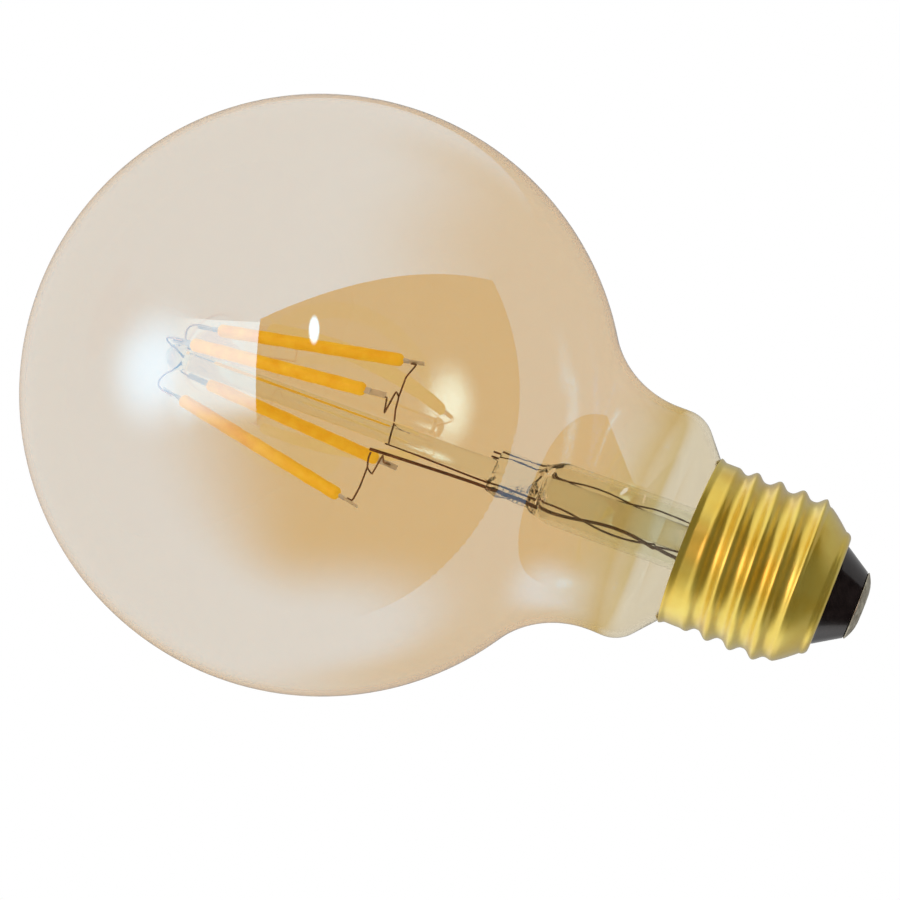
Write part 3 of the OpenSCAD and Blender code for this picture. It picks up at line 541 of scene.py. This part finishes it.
def satin_brass():
    material, nodes, links = new_material("satin_brass")
    place = nodes.new("ShaderNodeTexCoord")
    along = nodes.new("ShaderNodeMapping")
    along.inputs["Scale"].default_value = (1, 1, 14)
    links.new(place.outputs["Object"], along.inputs[0])
    streak = add_node(nodes, "ShaderNodeTexNoise", Scale=90.0, Detail=5.0, Roughness=0.65)
    links.new(along.outputs[0], streak.inputs["Vector"])
    cloud = object_noise(nodes, links, Scale=160.0, Detail=4.0)
    tone = ramp_of(nodes, links, cloud, [(0.3, BRASS_DARK), (0.75, BRASS_LIGHT)])
    rough = add_node(nodes, "ShaderNodeMapRange")
    rough.inputs["To Min"].default_value = 0.24
    rough.inputs["To Max"].default_value = 0.42
    links.new(streak.outputs["Fac"], rough.inputs["Value"])
    bump = add_node(nodes, "ShaderNodeBump", Strength=0.12, Distance=0.05 * MM)
    links.new(streak.outputs["Fac"], bump.inputs["Height"])
    brass = add_node(nodes, "ShaderNodeBsdfPrincipled", Metallic=0.7)
    brass.inputs["Coat Weight"].default_value = 1.0
    brass.inputs["Coat Roughness"].default_value = 0.2
    links.new(tone, brass.inputs["Base Color"])
    links.new(rough.outputs[0], brass.inputs["Roughness"])
    links.new(bump.outputs[0], brass.inputs["Normal"])
    to_output(nodes, links, brass)
    return material


shell.data.materials.append(satin_brass())
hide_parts("screw_shell")
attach(shell, "root")


# ---- Insulator and centre contact ------------------------------------------------------------
# Black cap glass poured into the shell's bottom ends in a cone with a faceted, glossy flank.
# A tinned brass button closes it, domed to a small flat that touches the lampholder.
INSULATOR_Z = 1.2 * MM
CONTACT_R = 5.2 * MM
CONTACT_FLAT_R = 1.9 * MM
CONTACT_DOME = 1.15 * MM


def surface(name, colours, rough, metallic=0.0, scale=300.0, bump=0.1, depth=0.02 * MM, coat=0.0):
    """A material whose colour wanders between two tones, with a fine grain in gloss and bump."""
    material, nodes, links = new_material(name)
    grain = object_noise(nodes, links, Scale=scale, Detail=6.0, Roughness=0.6)
    tone = ramp_of(nodes, links, grain, [(0.35, colours[0]), (0.68, colours[1])])
    gloss = add_node(nodes, "ShaderNodeMapRange")
    gloss.inputs["To Min"].default_value = rough[0]
    gloss.inputs["To Max"].default_value = rough[1]
    links.new(grain, gloss.inputs["Value"])
    relief = add_node(nodes, "ShaderNodeBump", Strength=bump, Distance=depth)
    links.new(grain, relief.inputs["Height"])
    body = add_node(nodes, "ShaderNodeBsdfPrincipled", Metallic=metallic)
    body.inputs["Coat Weight"].default_value = coat
    links.new(tone, body.inputs["Base Color"])
    links.new(gloss.outputs[0], body.inputs["Roughness"])
    links.new(relief.outputs[0], body.inputs["Normal"])
    to_output(nodes, links, body)
    return material


insulator_outline = [
    (1.7 * MM, INSULATOR_Z + 0.05 * MM),
    (5.05 * MM, INSULATOR_Z + 0.02 * MM),
    (5.25 * MM, INSULATOR_Z + 0.1 * MM),
    (5.35 * MM, INSULATOR_Z + 0.28 * MM),
    (7.62 * MM, LIP_Z - 0.25 * MM),
    (7.75 * MM, LIP_Z),
    (7.78 * MM, LIP_Z + 0.42 * MM),
    (8.6 * MM, LIP_Z + 0.42 * MM),
    (9.0 * MM, LIP_Z + 0.8 * MM),
    (9.4 * MM, LIP_Z + 1.7 * MM),
    (7.2 * MM, LIP_Z + 1.7 * MM),
    (3.1 * MM, INSULATOR_Z + 3 * MM),
    (1.7 * MM, INSULATOR_Z + 3 * MM),
    (1.7 * MM, INSULATOR_Z + 0.05 * MM),
]
insulator = lathe("cap_insulator", insulator_outline, 96, first_closed=False, last_closed=False)
smooth(insulator, 30)
insulator.data.materials.append(
    surface(
        "black_cap_glass",
        [(0.010, 0.007, 0.007), (0.024, 0.017, 0.016)],
        (0.10, 0.24),
        scale=420,
        coat=0.6,
    )
)
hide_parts("base_insulator")
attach(insulator, "root")

contact_outline = [(CONTACT_FLAT_R * 0.5, 0), (CONTACT_FLAT_R, 0)]
for share in (0.2, 0.4, 0.6, 0.75, 0.88, 0.96):
    rise = CONTACT_DOME * 0.85 * share**2.2
    contact_outline.append((CONTACT_FLAT_R + (CONTACT_R - CONTACT_FLAT_R) * share, rise))
contact_outline += arc(CONTACT_R - 0.12 * MM, CONTACT_DOME - 0.12 * MM, 0.12 * MM, -30, 90, 5)
contact_outline += [
    (1.6 * MM, CONTACT_DOME),
    (1.6 * MM, INSULATOR_Z + 2.2 * MM),
    (1.1 * MM, INSULATOR_Z + 2.2 * MM),
    (1.1 * MM, 0.6 * MM),
]
contact = lathe("contact_button", contact_outline, 96)
smooth(contact, 30)
contact.data.materials.append(
    surface(
        "tinned_brass",
        [(0.34, 0.30, 0.22), (0.80, 0.76, 0.62)],
        (0.34, 0.62),
        metallic=0.85,
        scale=900,
        bump=0.5,
        depth=0.06 * MM,
    )
)
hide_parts("centre_contact")
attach(contact, "root")


# ---- Glass stem -------------------------------------------------------------------------------
# A flared tube melted onto the neck ends in a flat pinch round the leads, with the exhaust tube
# inside and a glass pillar on top. The whole stem leans a little, as hand-fed stems do.
STEM_BASE = 20.0 * MM
FLARE_RIM_R = 10.4 * MM
FLARE_R = 5.0 * MM
PINCH_TOP = 59.0 * MM
PINCH_WIDTH = 9.0 * MM
PINCH_THICKNESS = 3.0 * MM
BOARD_TURN = math.radians(40)
PILLAR_R = 1.7 * MM
PILLAR_TOP = PINCH_TOP + 53.3 * MM
BEAD_R = 2.2 * MM
LEAN = Euler((math.radians(2.5), math.radians(-1.6), 0)).to_matrix().to_4x4()
STEM_LEAN = Matrix.Translation((0, 0, STEM_BASE)) @ LEAN @ Matrix.Translation((0, 0, -STEM_BASE))


def clear_glass(name, tint):
    material, nodes, links = new_material(name)
    cord = object_noise(nodes, links, Scale=180.0, Detail=2.0)
    tone = ramp_of(nodes, links, cord, [(0, [part * 0.97 for part in tint]), (1, tint)])
    ripple = add_node(nodes, "ShaderNodeBump", Strength=0.08, Distance=0.05 * MM)
    links.new(cord, ripple.inputs["Height"])
    glass = add_node(
        nodes, "ShaderNodeBsdfPrincipled", Roughness=0.0, IOR=1.5, Transmission_Weight=1.0
    )
    links.new(tone, glass.inputs["Base Color"])
    links.new(ripple.outputs[0], glass.inputs["Normal"])
    to_output(nodes, links, glass)
    return material


stem_glass = clear_glass("clear_stem_glass", (0.93, 0.95, 0.90))


def flare_outline():
    trumpet_r = FLARE_RIM_R - FLARE_R
    centre_z = STEM_BASE + trumpet_r + 0.8 * MM
    outline = [(FLARE_RIM_R, STEM_BASE + 0.05 * MM)]
    outline += arc(FLARE_RIM_R, centre_z, trumpet_r, 268, 180, 16)
    outline += [(FLARE_R, STEM_BASE + k * 4.6 * MM) for k in range(2, 7)]
    outline += [(FLARE_R, z * MM) for z in (49, 50, 51, 52, 53, 54, 55.5, 57, 58.2, 58.7)]
    outline += [(FLARE_R * 0.93, 58.95 * MM), (FLARE_R * 0.7, PINCH_TOP)]
    return outline


flare = lathe("stem_flare_glass", flare_outline(), 64, first_closed=False)
for vertex in flare.data.vertices:
    x, y, z = vertex.co
    share = eased((z - 48.5 * MM) / (6.0 * MM))
    if share > 0:
        p = x * math.cos(BOARD_TURN) + y * math.sin(BOARD_TURN)
        q = y * math.cos(BOARD_TURN) - x * math.sin(BOARD_TURN)
        waist = 1 + (PINCH_WIDTH / (2 * FLARE_R) - 1) * share
        flat = 1 + (PINCH_THICKNESS / (2 * FLARE_R) - 1) * share
        knead = 1 + share * 0.07 * math.sin(z * 2300 + p * 900)
        p, q = p * waist * knead, q * flat * (1 + share * 0.16 * math.sin(p * 1900 + z * 1300))
        vertex.co.x = p * math.cos(BOARD_TURN) - q * math.sin(BOARD_TURN)
        vertex.co.y = p * math.sin(BOARD_TURN) + q * math.cos(BOARD_TURN)

hollow_outline = arc(FLARE_RIM_R, STEM_BASE + 6.2 * MM, 6.2 * MM, 262, 180, 16)
hollow_outline += [(4.2 * MM, z * MM) for z in (30, 35, 40, 45, 49)]
hollow_outline += arc(2.6 * MM, 50.0 * MM, 1.6 * MM, 0, 80, 8)
hollow = lathe("stem_hollow", hollow_outline, 64, first_closed=False)
edit(hollow)
bpy.ops.mesh.select_all(action="SELECT")
bpy.ops.mesh.flip_normals()
bpy.ops.object.mode_set(mode="OBJECT")
select_only(flare)
hollow.select_set(True)
bpy.ops.object.join()
edit(flare)
select_open_edges(flare)
bpy.ops.mesh.bridge_edge_loops()
bpy.ops.object.mode_set(mode="OBJECT")
smooth(flare, 60)
flare.data.transform(STEM_LEAN)
flare.data.materials.append(stem_glass)
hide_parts("stem_flare")
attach(flare, "root")

exhaust_outline = arc(0, 25.8 * MM, 0.9 * MM, -80, 0, 5)
exhaust_outline += [(1.5 * MM, 26.8 * MM), (2.1 * MM, 28.4 * MM)]
exhaust_outline += [(2.1 * MM, z * MM) for z in (34, 40, 46, 50.0)]
exhaust = lathe("exhaust_glass", exhaust_outline, 48)
smooth(exhaust, 50)
exhaust.data.transform(STEM_LEAN)
exhaust.data.materials.append(stem_glass)
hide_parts("exhaust_tube")
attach(exhaust, "root")

pillar_outline = [(PILLAR_R * 0.9, PINCH_TOP - 0.3 * MM), (PILLAR_R * 1.12, PINCH_TOP + 0.3 * MM)]
pillar_outline += [(PILLAR_R, PINCH_TOP + 1.5 * MM)]
pillar_outline += [(PILLAR_R, PINCH_TOP + k * 8.5 * MM) for k in range(1, 6)]
pillar_outline += [(PILLAR_R, PILLAR_TOP)]
pillar = lathe("pillar_glass", pillar_outline, 48)
smooth(pillar, 50)
pillar.data.transform(STEM_LEAN)
pillar.data.materials.append(stem_glass)
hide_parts("support_pillar")
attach(pillar, "root")

bead_centre = PILLAR_TOP + math.sqrt(BEAD_R**2 - PILLAR_R**2)
bead = lathe("bead_glass", arc(0, bead_centre, BEAD_R, -38, 84, 22), 48)
smooth(bead, 60)
bead.data.transform(STEM_LEAN)
bead.data.materials.append(stem_glass)
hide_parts("pillar_bead")
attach(bead, "root")


# ---- Filaments --------------------------------------------------------------------------------
# Each is a narrow ceramic strip set with chips, moulded all round in silicone full of phosphor.
# Four stand in a cage round the pillar, drawn together at the top.
FILAMENT_LENGTH = 31.6 * MM
FILAMENT_R = 1.05 * MM
CAGE_LOW_R = 12.7 * MM
CAGE_HIGH_R = 6.7 * MM
CAGE_LOW_Z = PINCH_TOP + 20.3 * MM
CAGE_CONE = math.asin((CAGE_LOW_R - CAGE_HIGH_R) / FILAMENT_LENGTH)
FILAMENT_TURNS = [math.radians(22.3 + 90 * k) for k in range(4)]
TAB_START = 0.65 * MM
TAB_LENGTH = 2.45 * MM
PHOSPHOR_DARK = (0.85, 0.49, 0.02)
PHOSPHOR_LIGHT = (0.92, 0.65, 0.05)
# Painted light: the unlit phosphor glows a little, in place of the light that the renderer passes
# poorly through the glass.
PHOSPHOR_PAINTED_LIGHT = 0.45


def filament_place(turn):
    """From a piece drawn up the Z axis to its place in the leaning cage."""
    return (
        STEM_LEAN
        @ Matrix.Rotation(turn, 4, "Z")
        @ Matrix.Translation((CAGE_LOW_R, 0, CAGE_LOW_Z))
        @ Matrix.Rotation(-CAGE_CONE, 4, "Y")
    )


def filament_outline(k):
    outline = arc(0.25 * MM, 1.1 * MM, 0.8 * MM, -80, 0, 8)
    rings = 40
    for step in range(1, rings):
        z = 1.1 * MM + (FILAMENT_LENGTH - 2.2 * MM) * step / rings
        wander = 0.03 * MM * math.sin(step * 0.9 + k) + 0.02 * MM * math.sin(step * 2.3 + 2 * k)
        outline.append((FILAMENT_R + wander, z))
    outline += arc(0.25 * MM, FILAMENT_LENGTH - 1.1 * MM, 0.8 * MM, 0, 80, 8)
    return outline


def phosphor_silicone():
    """Its slight glow stands for the light that reaches it through the coated glass."""
    material, nodes, links = new_material("phosphor_silicone")
    cloud = object_noise(nodes, links, Scale=420.0, Detail=5.0)
    tone = ramp_of(nodes, links, cloud, [(0.3, PHOSPHOR_DARK), (0.7, PHOSPHOR_LIGHT)])
    relief = add_node(nodes, "ShaderNodeBump", Strength=0.3, Distance=0.05 * MM)
    links.new(cloud, relief.inputs["Height"])
    body = add_node(nodes, "ShaderNodeBsdfPrincipled", Roughness=0.42, IOR=1.41)
    # Painted light: this emission stands for the light that reaches the phosphor through the glass.
    # The lamp itself is off.
    body.inputs["Emission Strength"].default_value = PHOSPHOR_PAINTED_LIGHT
    links.new(tone, body.inputs["Emission Color"])
    links.new(tone, body.inputs["Base Color"])
    links.new(relief.outputs[0], body.inputs["Normal"])
    to_output(nodes, links, body)
    return material


phosphor = phosphor_silicone()
for k, turn in enumerate(FILAMENT_TURNS):
    coat = lathe(f"phosphor_coat_{k + 1}", filament_outline(k), 32)
    smooth(coat)
    coat.data.transform(filament_place(turn))
    coat.data.materials.append(phosphor)
    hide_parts(f"filament_{k + 1}")
    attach(coat, "root")

tab_metal = surface(
    "plated_tab", [(0.80, 0.74, 0.58), (0.98, 0.95, 0.84)], (0.25, 0.5), metallic=0.3, scale=700
)
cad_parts["filament_end_tabs"].data.materials.clear()
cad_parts["filament_end_tabs"].data.materials.append(tab_metal)


# ---- Support wires and leads --------------------------------------------------------------------
# Bent wire holds the cage: a cross through the bead on top, a zigzag link low on each side, and
# a hook in the pillar. Four leads leave the pinch in twisted pairs, and two are cut off above it.
SUPPORT_R = 0.15 * MM
HOOK_TURN = math.radians(-35)
LINK_Z = CAGE_LOW_Z - 2.2 * MM
HOOK_Z = LINK_Z - 0.9 * MM
PAIR_R = 3.15 * MM
PAIR_HALF = 0.5 * MM


def polar(radius, turn, z):
    return Vector((radius * math.cos(turn), radius * math.sin(turn), z))


def bent_wire(name, routes, radius):
    """Round wire through each route's points, as one piece."""
    curve = bpy.data.curves.new(name, "CURVE")
    curve.dimensions = "3D"
    curve.bevel_depth = radius
    curve.bevel_resolution = 3
    curve.use_fill_caps = True
    curve.resolution_u = 8
    for route in routes:
        spline = curve.splines.new("BEZIER")
        spline.bezier_points.add(len(route) - 1)
        for point, place in zip(spline.bezier_points, route):
            point.co = place
            point.handle_left_type = point.handle_right_type = "AUTO"
    wire = bpy.data.objects.new(name, curve)
    bpy.context.collection.objects.link(wire)
    select_only(wire)
    bpy.ops.object.convert(target="MESH")
    smooth(wire, 60)
    return wire


def leaned(points):
    return [STEM_LEAN @ Vector(point) for point in points]


def cage_radius(z):
    return CAGE_LOW_R - (z - CAGE_LOW_Z) * math.tan(CAGE_CONE)


def tab_side(turn, z, side):
    """On a tab's face, inside (-1) or outside (1) the cage."""
    return polar(cage_radius(z) + side * 0.33 * MM, turn, z)


def wire_metal(name, dark, light):
    return surface(name, [dark, light], (0.3, 0.55), metallic=0.8, scale=600, bump=0.3)


nickel_wire = wire_metal("nickel_wire", (0.20, 0.12, 0.08), (0.42, 0.28, 0.19))
# Painted light: the same nickel wire, made lighter for the top cross to stand for the light it
# catches there.
painted_lit_wire = wire_metal("nickel_wire_painted_lighter", (0.75, 0.58, 0.38), (0.98, 0.84, 0.62))
lead_metal = wire_metal("browned_lead", (0.13, 0.070, 0.045), (0.28, 0.16, 0.10))


def spider_arm(turn):
    tip_z = CAGE_LOW_Z + (FILAMENT_LENGTH + TAB_START + TAB_LENGTH) * math.cos(CAGE_CONE)
    return [
        polar(2.7 * MM, turn, bead_centre),
        polar(3.5 * MM, turn, bead_centre + 0.7 * MM),
        polar(5.6 * MM, turn, bead_centre + 1.0 * MM),
        tab_side(turn, tip_z + 0.35 * MM, 1),
        tab_side(turn, tip_z - 0.7 * MM, 1),
        tab_side(turn, tip_z - 1.7 * MM, 1),
    ]


spider_routes = []
for turn in FILAMENT_TURNS[:2]:
    across = spider_arm(turn + math.pi)
    spider_routes.append(leaned(spider_arm(turn)[::-1] + across))
spider = bent_wire("top_cross_wire", spider_routes, SUPPORT_R)


def kinked(points, cut=0.3 * MM):
    """The same points with every corner cut a little, as sharp bends in wire are."""
    route = [points[0]]
    for before, corner, after in zip(points, points[1:], points[2:]):
        first = corner + (before - corner).normalized() * cut
        last = corner + (after - corner).normalized() * cut
        route += [first, (first + last + corner * 2) / 4, last]
    return route + [points[-1]]


def tab_end(turn):
    return [tab_side(turn, LINK_Z + 0.3 * MM, -1), tab_side(turn, LINK_Z + 1.2 * MM, -1)]


def at_link(radius, degrees, rise):
    return polar(radius * MM, math.radians(degrees), LINK_Z + rise * MM)


right_hub = at_link(5.9, -8, -0.1)
right_arm = [right_hub, at_link(9.5, 14, 0.6)] + tab_end(FILAMENT_TURNS[0])
right_zigzag = [
    polar(2.35 * MM, HOOK_TURN, HOOK_Z),
    at_link(3.84, -17, -0.4),
    right_hub,
    at_link(6.7, -17, 0.3),
    at_link(5.2, -60, 0.3),
    at_link(9, -57, 0),
] + tab_end(FILAMENT_TURNS[3])
right_link = bent_wire(
    "right_link_wire", [leaned(kinked(right_arm)), leaned(kinked(right_zigzag))], SUPPORT_R
)

lead_top = at_link(3.6, 200, 1.3)
left_hub = at_link(6.3, 181, 0.95)
left_arm = [left_hub, at_link(9.9, 196, 0.4)] + tab_end(FILAMENT_TURNS[2])
left_zigzag = [
    lead_top + Vector((-0.42 * MM, 0, -0.3 * MM)),
    at_link(4.9, 191, 1.1),
    left_hub,
    at_link(7.5, 161, 0.5),
    at_link(7.05, 122, 0.7),
    at_link(10, 119, 0.8),
] + tab_end(FILAMENT_TURNS[1])
left_link = bent_wire(
    "left_link_wire", [leaned(kinked(left_arm)), leaned(kinked(left_zigzag))], SUPPORT_R
)
hook = bent_wire(
    "pillar_hook",
    [leaned([polar(r * MM, HOOK_TURN, HOOK_Z) for r in (2.0, 0, -2.0)])],
    SUPPORT_R,
)
for piece, node in (
    (spider, "top_spider"),
    (right_link, "lower_link_right"),
    (left_link, "lower_link_left"),
    (hook, "pillar_hook_wire"),
):
    # The top cross takes the lighter copy of the nickel wire, whose colour holds painted light.
    piece.data.materials.append(painted_lit_wire if piece is spider else nickel_wire)
    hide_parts(node)
    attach(piece, "root")

HOLLOW_TOP = 52.3 * MM
BOARD_TAB_Z = 22.2 * MM
TWIST = math.radians(450)


def pair_point(side, half, z):
    """On one lead of a twisted pair: side picks the pair and half the lead in it."""
    high, low = HOLLOW_TOP - 1.2 * MM, BOARD_TAB_Z + 1.5 * MM
    share = min(1, max(0, (high - z) / (high - low)))
    angle = (math.pi if half < 0 else 0) + TWIST * share
    p = side * (PAIR_R + PAIR_HALF * math.cos(angle))
    q = PAIR_HALF * math.sin(angle)
    c, s = math.cos(BOARD_TURN), math.sin(BOARD_TURN)
    return Vector((p * c - q * s, p * s + q * c, z))


def lead_route(side, half, radius):
    """Down through the pinch and the flare, beside its partner, to a face of the board."""
    c, s = math.cos(BOARD_TURN), math.sin(BOARD_TURN)
    p, q = side * (PAIR_R - 0.2 * MM), half * (0.52 * MM + radius)
    foot = (p * c - q * s, p * s + q * c)
    high, low = HOLLOW_TOP - 1.2 * MM, BOARD_TAB_Z + 1.5 * MM
    route = [pair_point(side, half, z) for z in (PINCH_TOP, HOLLOW_TOP + 0.5 * MM, high)]
    route += [pair_point(side, half, high + (low - high) * k / 10) for k in range(1, 11)]
    route = leaned(route)
    route += [Vector((*foot, BOARD_TAB_Z + z * MM)) for z in (0.5, -1.2, -2.6)]
    return route


heavy_r, lead_r = 0.25 * MM, 0.15 * MM
heavy_top = [
    lead_top,
    lead_top * 0.5 + pair_point(-1, 1, PINCH_TOP + 4 * MM) * 0.5,
    pair_point(-1, 1, PINCH_TOP + 2 * MM),
    pair_point(-1, 1, PINCH_TOP + 0.6 * MM),
]
thin_end = polar(2.17 * MM, HOOK_TURN + math.pi, HOOK_Z + 0.8 * MM)
thin_top = [
    thin_end,
    thin_end - Vector((0, 0, 2.2 * MM)),
    (pair_point(-1, -1, PINCH_TOP + 7 * MM) + thin_end) * 0.5 - Vector((0, 0, 4 * MM)),
    pair_point(-1, -1, PINCH_TOP + 2 * MM),
    pair_point(-1, -1, PINCH_TOP + 0.6 * MM),
]
lead_pieces = [
    bent_wire("lead_heavy", [leaned(heavy_top) + lead_route(-1, 1, heavy_r)], heavy_r),
    bent_wire("lead_thin", [leaned(thin_top) + lead_route(-1, -1, lead_r)], lead_r),
]
for half, name in ((1, "lead_cut_front"), (-1, "lead_cut_back")):
    stub = leaned([pair_point(1, half, PINCH_TOP + 1.4 * MM)])
    lead_pieces.append(bent_wire(name, [stub + lead_route(1, half, lead_r)], lead_r))
for k, piece in enumerate(lead_pieces):
    piece.data.materials.append(lead_metal)
    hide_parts(f"lead_wire_{k + 1}")
    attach(piece, "root")


# ---- Pieces hidden in the cap and the filaments --------------------------------------------------
# Their true shapes come with the frame. Each only gets its own finish here: cement, moulded and
# lacquered parts, circuit board, ferrite, copper, solder and wire.
TINNED_LEAD = (((0.55, 0.55, 0.55), (0.75, 0.75, 0.75)), (0.2, 0.35), 1, 700)
BLACK_MOULDING = (((0.008, 0.008, 0.009), (0.02, 0.02, 0.022)), (0.4, 0.6), 0, 900)

hidden_finishes = {
    "contact_solder": (((0.42, 0.42, 0.41), (0.66, 0.66, 0.65)), (0.25, 0.5), 0.9, 800),
    "neck_cement": (((0.58, 0.54, 0.46), (0.76, 0.73, 0.66)), (0.8, 0.95), 0, 500),
    "filament_strips": (((0.76, 0.76, 0.73), (0.86, 0.86, 0.84)), (0.5, 0.7), 0, 700),
    "filament_chips": (((0.10, 0.16, 0.46), (0.18, 0.26, 0.60)), (0.1, 0.25), 0, 900),
    "insulating_sleeve": (((0.78, 0.72, 0.56), (0.86, 0.81, 0.67)), (0.35, 0.5), 0, 250),
    "driver_board": (((0.010, 0.10, 0.035), (0.020, 0.16, 0.06)), (0.3, 0.45), 0, 900),
    "radio_module_board": (((0.008, 0.03, 0.12), (0.016, 0.05, 0.19)), (0.3, 0.45), 0, 900),
    "smoothing_capacitor": (((0.016, 0.026, 0.06), (0.03, 0.045, 0.10)), (0.2, 0.35), 0, 300),
    "capacitor_leads": TINNED_LEAD,
    "resistor_leads": TINNED_LEAD,
    "inductor_core": (((0.030, 0.030, 0.033), (0.06, 0.06, 0.065)), (0.5, 0.7), 0, 800),
    "inductor_winding": (((0.35, 0.11, 0.03), (0.60, 0.24, 0.08)), (0.2, 0.35), 0.8, 500),
    "bridge_rectifier": BLACK_MOULDING,
    "driver_chip": BLACK_MOULDING,
    "dimming_transistors": BLACK_MOULDING,
    "fusible_resistor": (((0.20, 0.38, 0.28), (0.32, 0.50, 0.40)), (0.25, 0.4), 0, 400),
    "chip_components": (((0.28, 0.20, 0.12), (0.45, 0.36, 0.24)), (0.4, 0.6), 0, 900),
    "radio_shield_can": (((0.45, 0.46, 0.47), (0.68, 0.69, 0.70)), (0.2, 0.35), 1, 500),
    "radio_antenna": (((0.45, 0.16, 0.05), (0.68, 0.30, 0.12)), (0.25, 0.4), 1, 700),
    "module_pins": (((0.62, 0.42, 0.10), (0.80, 0.60, 0.22)), (0.2, 0.35), 1, 700),
    "contact_wire": (((0.42, 0.012, 0.010), (0.58, 0.03, 0.02)), (0.35, 0.5), 0, 500),
    "shell_wire": (((0.010, 0.010, 0.011), (0.025, 0.025, 0.028)), (0.35, 0.5), 0, 500),
}
for node, (tones, rough, metallic, scale) in hidden_finishes.items():
    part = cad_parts[node]
    part.data.materials.clear()
    part.data.materials.append(
        surface(node + "_finish", tones, rough, metallic=metallic, scale=scale)
    )
